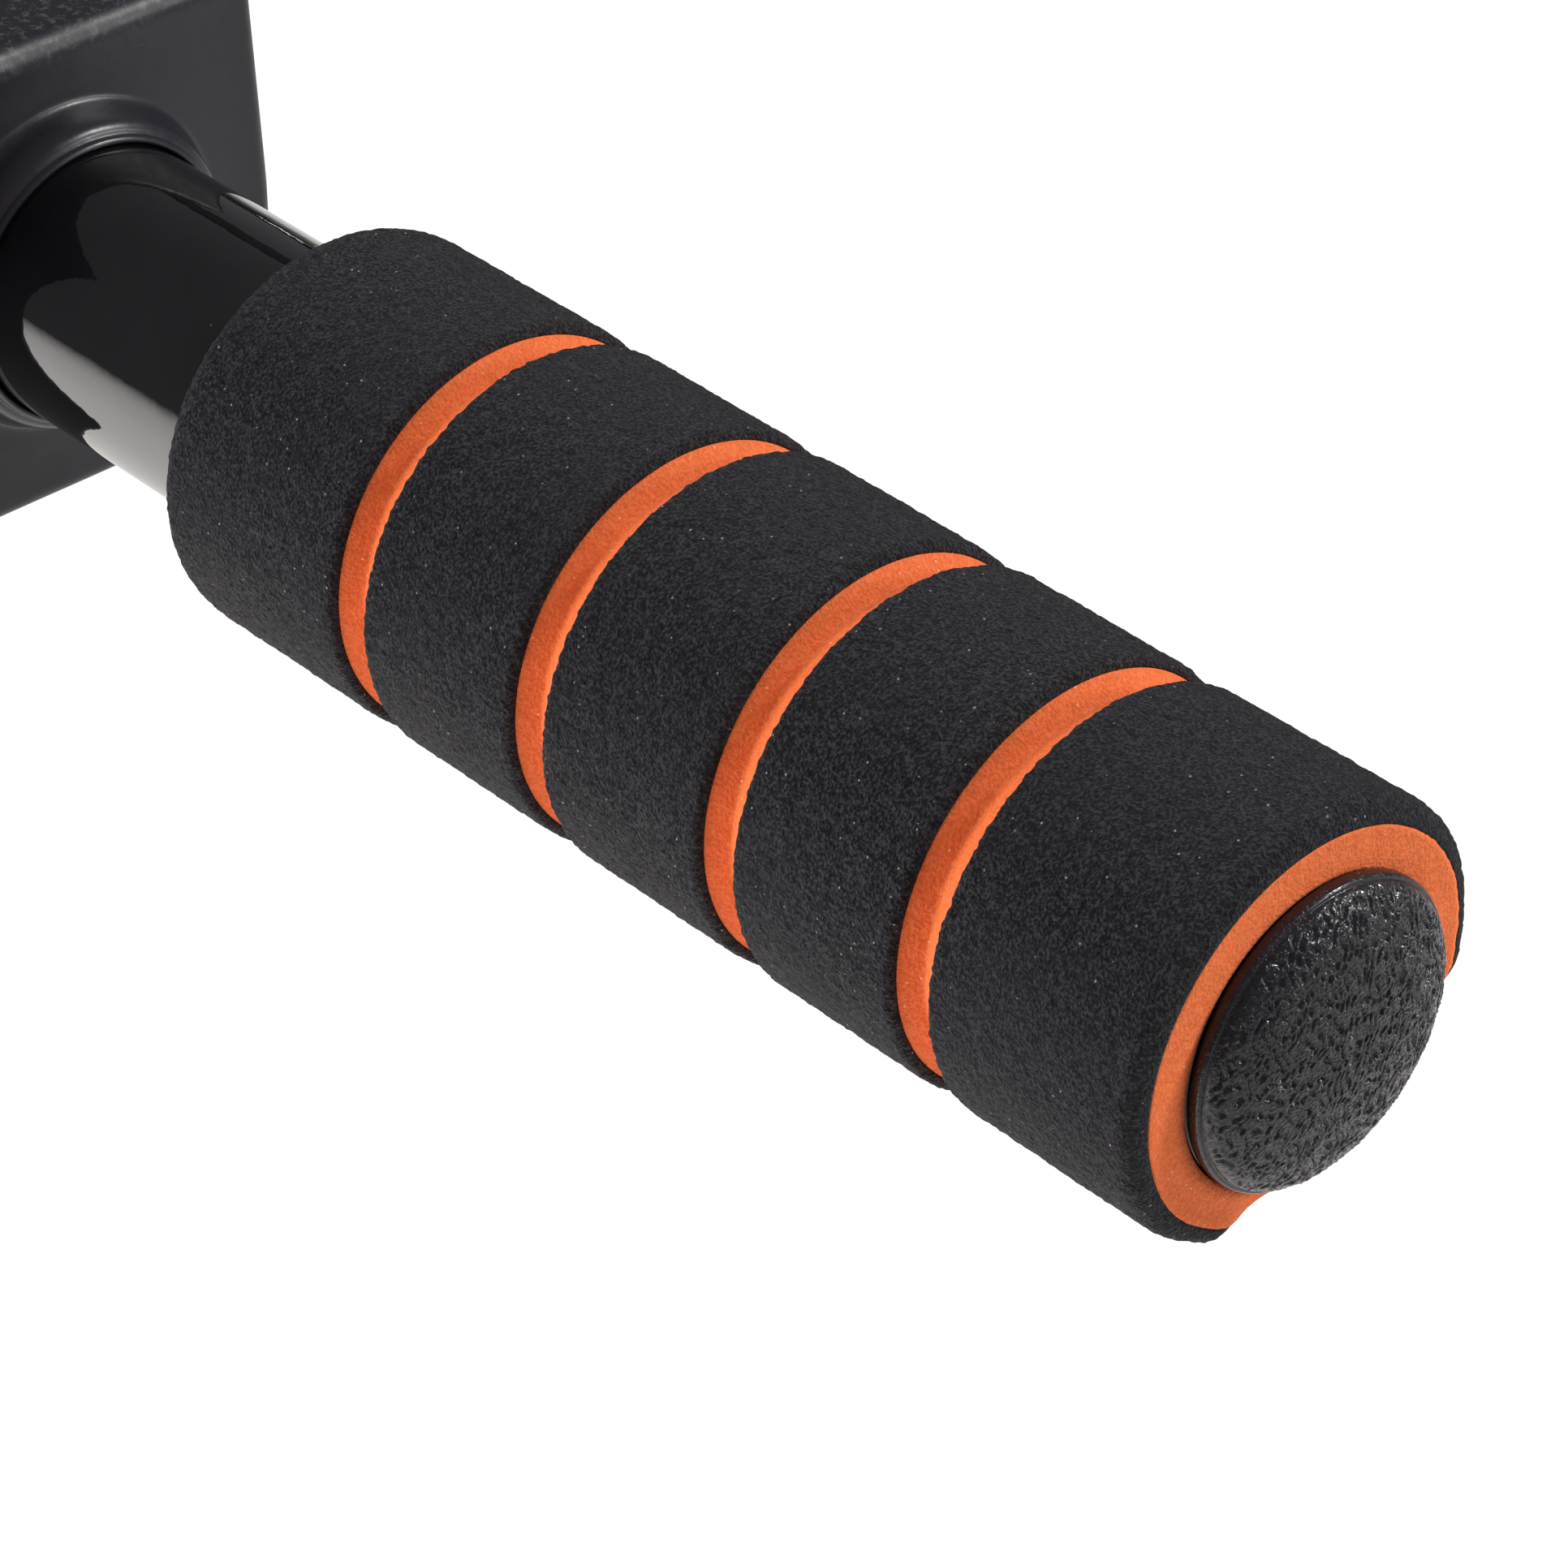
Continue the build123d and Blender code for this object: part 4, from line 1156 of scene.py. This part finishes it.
def curved_washer(b, m, across_is_z):
    """Local +X points to the tube; the flat face is at 0. The tube's axis is local Y, or local Z if across_is_z is false."""
    n = 96
    q = ring_angles(n)
    k = 8.0 / np.maximum(np.abs(np.cos(q)), np.abs(np.sin(q)))
    k = np.minimum(k, 8.0 * 1.30)
    u, w = np.sin(q), np.cos(q)

    def lower(r):
        off = r * (w if across_is_z else u)
        return 1.5 + R - np.sqrt(np.maximum(R * R - off ** 2, 0)) - 0.02

    rows = []
    for a, r in ((0.0, np.full(n, 4.4)), (0.0, k - 0.5), (0.15, k - 0.12), (0.5, k)):
        rows.append(np.stack([np.full(n, a), r * u, r * w], -1))
    for r, d in ((k, 0.5), (k - 0.12, 0.12), (k - 0.5, 0.0), (k * 0.75, 0.0), (np.full(n, 4.6), 0.0), (np.full(n, 4.3), 0.15)):
        a = np.maximum(lower(r) - d, 0.55 if d == 0.5 else 0.6)
        rows.append(np.stack([a, r * u, r * w], -1))
    rows.append(np.stack([np.full(n, 0.2), 4.3 * u, 4.3 * w], -1))
    b.torus(to_world(m, np.array(rows)))


def along_y(x, y, z, way=1):
    """Local +X to world +Y (way 1) or -Y (way -1)."""
    return place((x, y, z), (0, way, 0), (-way, 0, 0), (0, 0, 1)) if way > 0 else place((x, y, z), (0, -1, 0), (1, 0, 0), (0, 0, 1))


sb_lo, sb_hi = mmbox("saddle_bolts")
lb_lo, lb_hi = mmbox("ledge_bolts")
dx = sb_hi[0] - 7.5055 - ARM_X
saddle_at = [(s * ARM_X + d, BAR_Z) for s in (-1, 1) for d in (-23.0, 23.0)]
ledge_at = [(s * ARM_X, z) for s in (-1, 1) for z in (lb_lo[2] + 6.5, lb_hi[2] - 6.5)]
turns = [0.1, 0.75, 0.4, 0.93, 0.22, 0.6, 0.05, 0.81]
seat = sb_lo[1] + 5.3
lseat = lb_lo[1] + 5.3
B = {k: Build() for k in ("saddle_bolts", "saddle_curved_washers", "saddle_flat_washers", "saddle_lock_nuts", "ledge_bolts", "ledge_curved_washers", "ledge_lock_nuts")}
fw = mmbox("saddle_flat_washers")[0][1]
sn = mmbox("saddle_lock_nuts")[0][1]
ln = mmbox("ledge_lock_nuts")[0][1]
for i, (x, z) in enumerate(saddle_at):
    bolt(B["saddle_bolts"], along_y(x, seat, z), sb_hi[1] - seat, turn=turns[i], thread_from=33)
    curved_washer(B["saddle_curved_washers"], along_y(x, seat, z), True)
    flat_washer(B["saddle_flat_washers"], along_y(x, fw, z))
    nut(B["saddle_lock_nuts"], along_y(x, sn, z), turn=turns[-i - 1])
for i, (x, z) in enumerate(ledge_at):
    bolt(B["ledge_bolts"], along_y(x, lseat, z), lb_hi[1] - lseat, turn=turns[-i - 2], thread_from=32)
    curved_washer(B["ledge_curved_washers"], along_y(x, ln, z, -1), False)
    nut(B["ledge_lock_nuts"], along_y(x, ln, z), turn=turns[i + 3])
for k_, bb in B.items():
    bb.object(f"{k_}_plated", ZINC, "bar", "hardware", [k_], sharp=32)
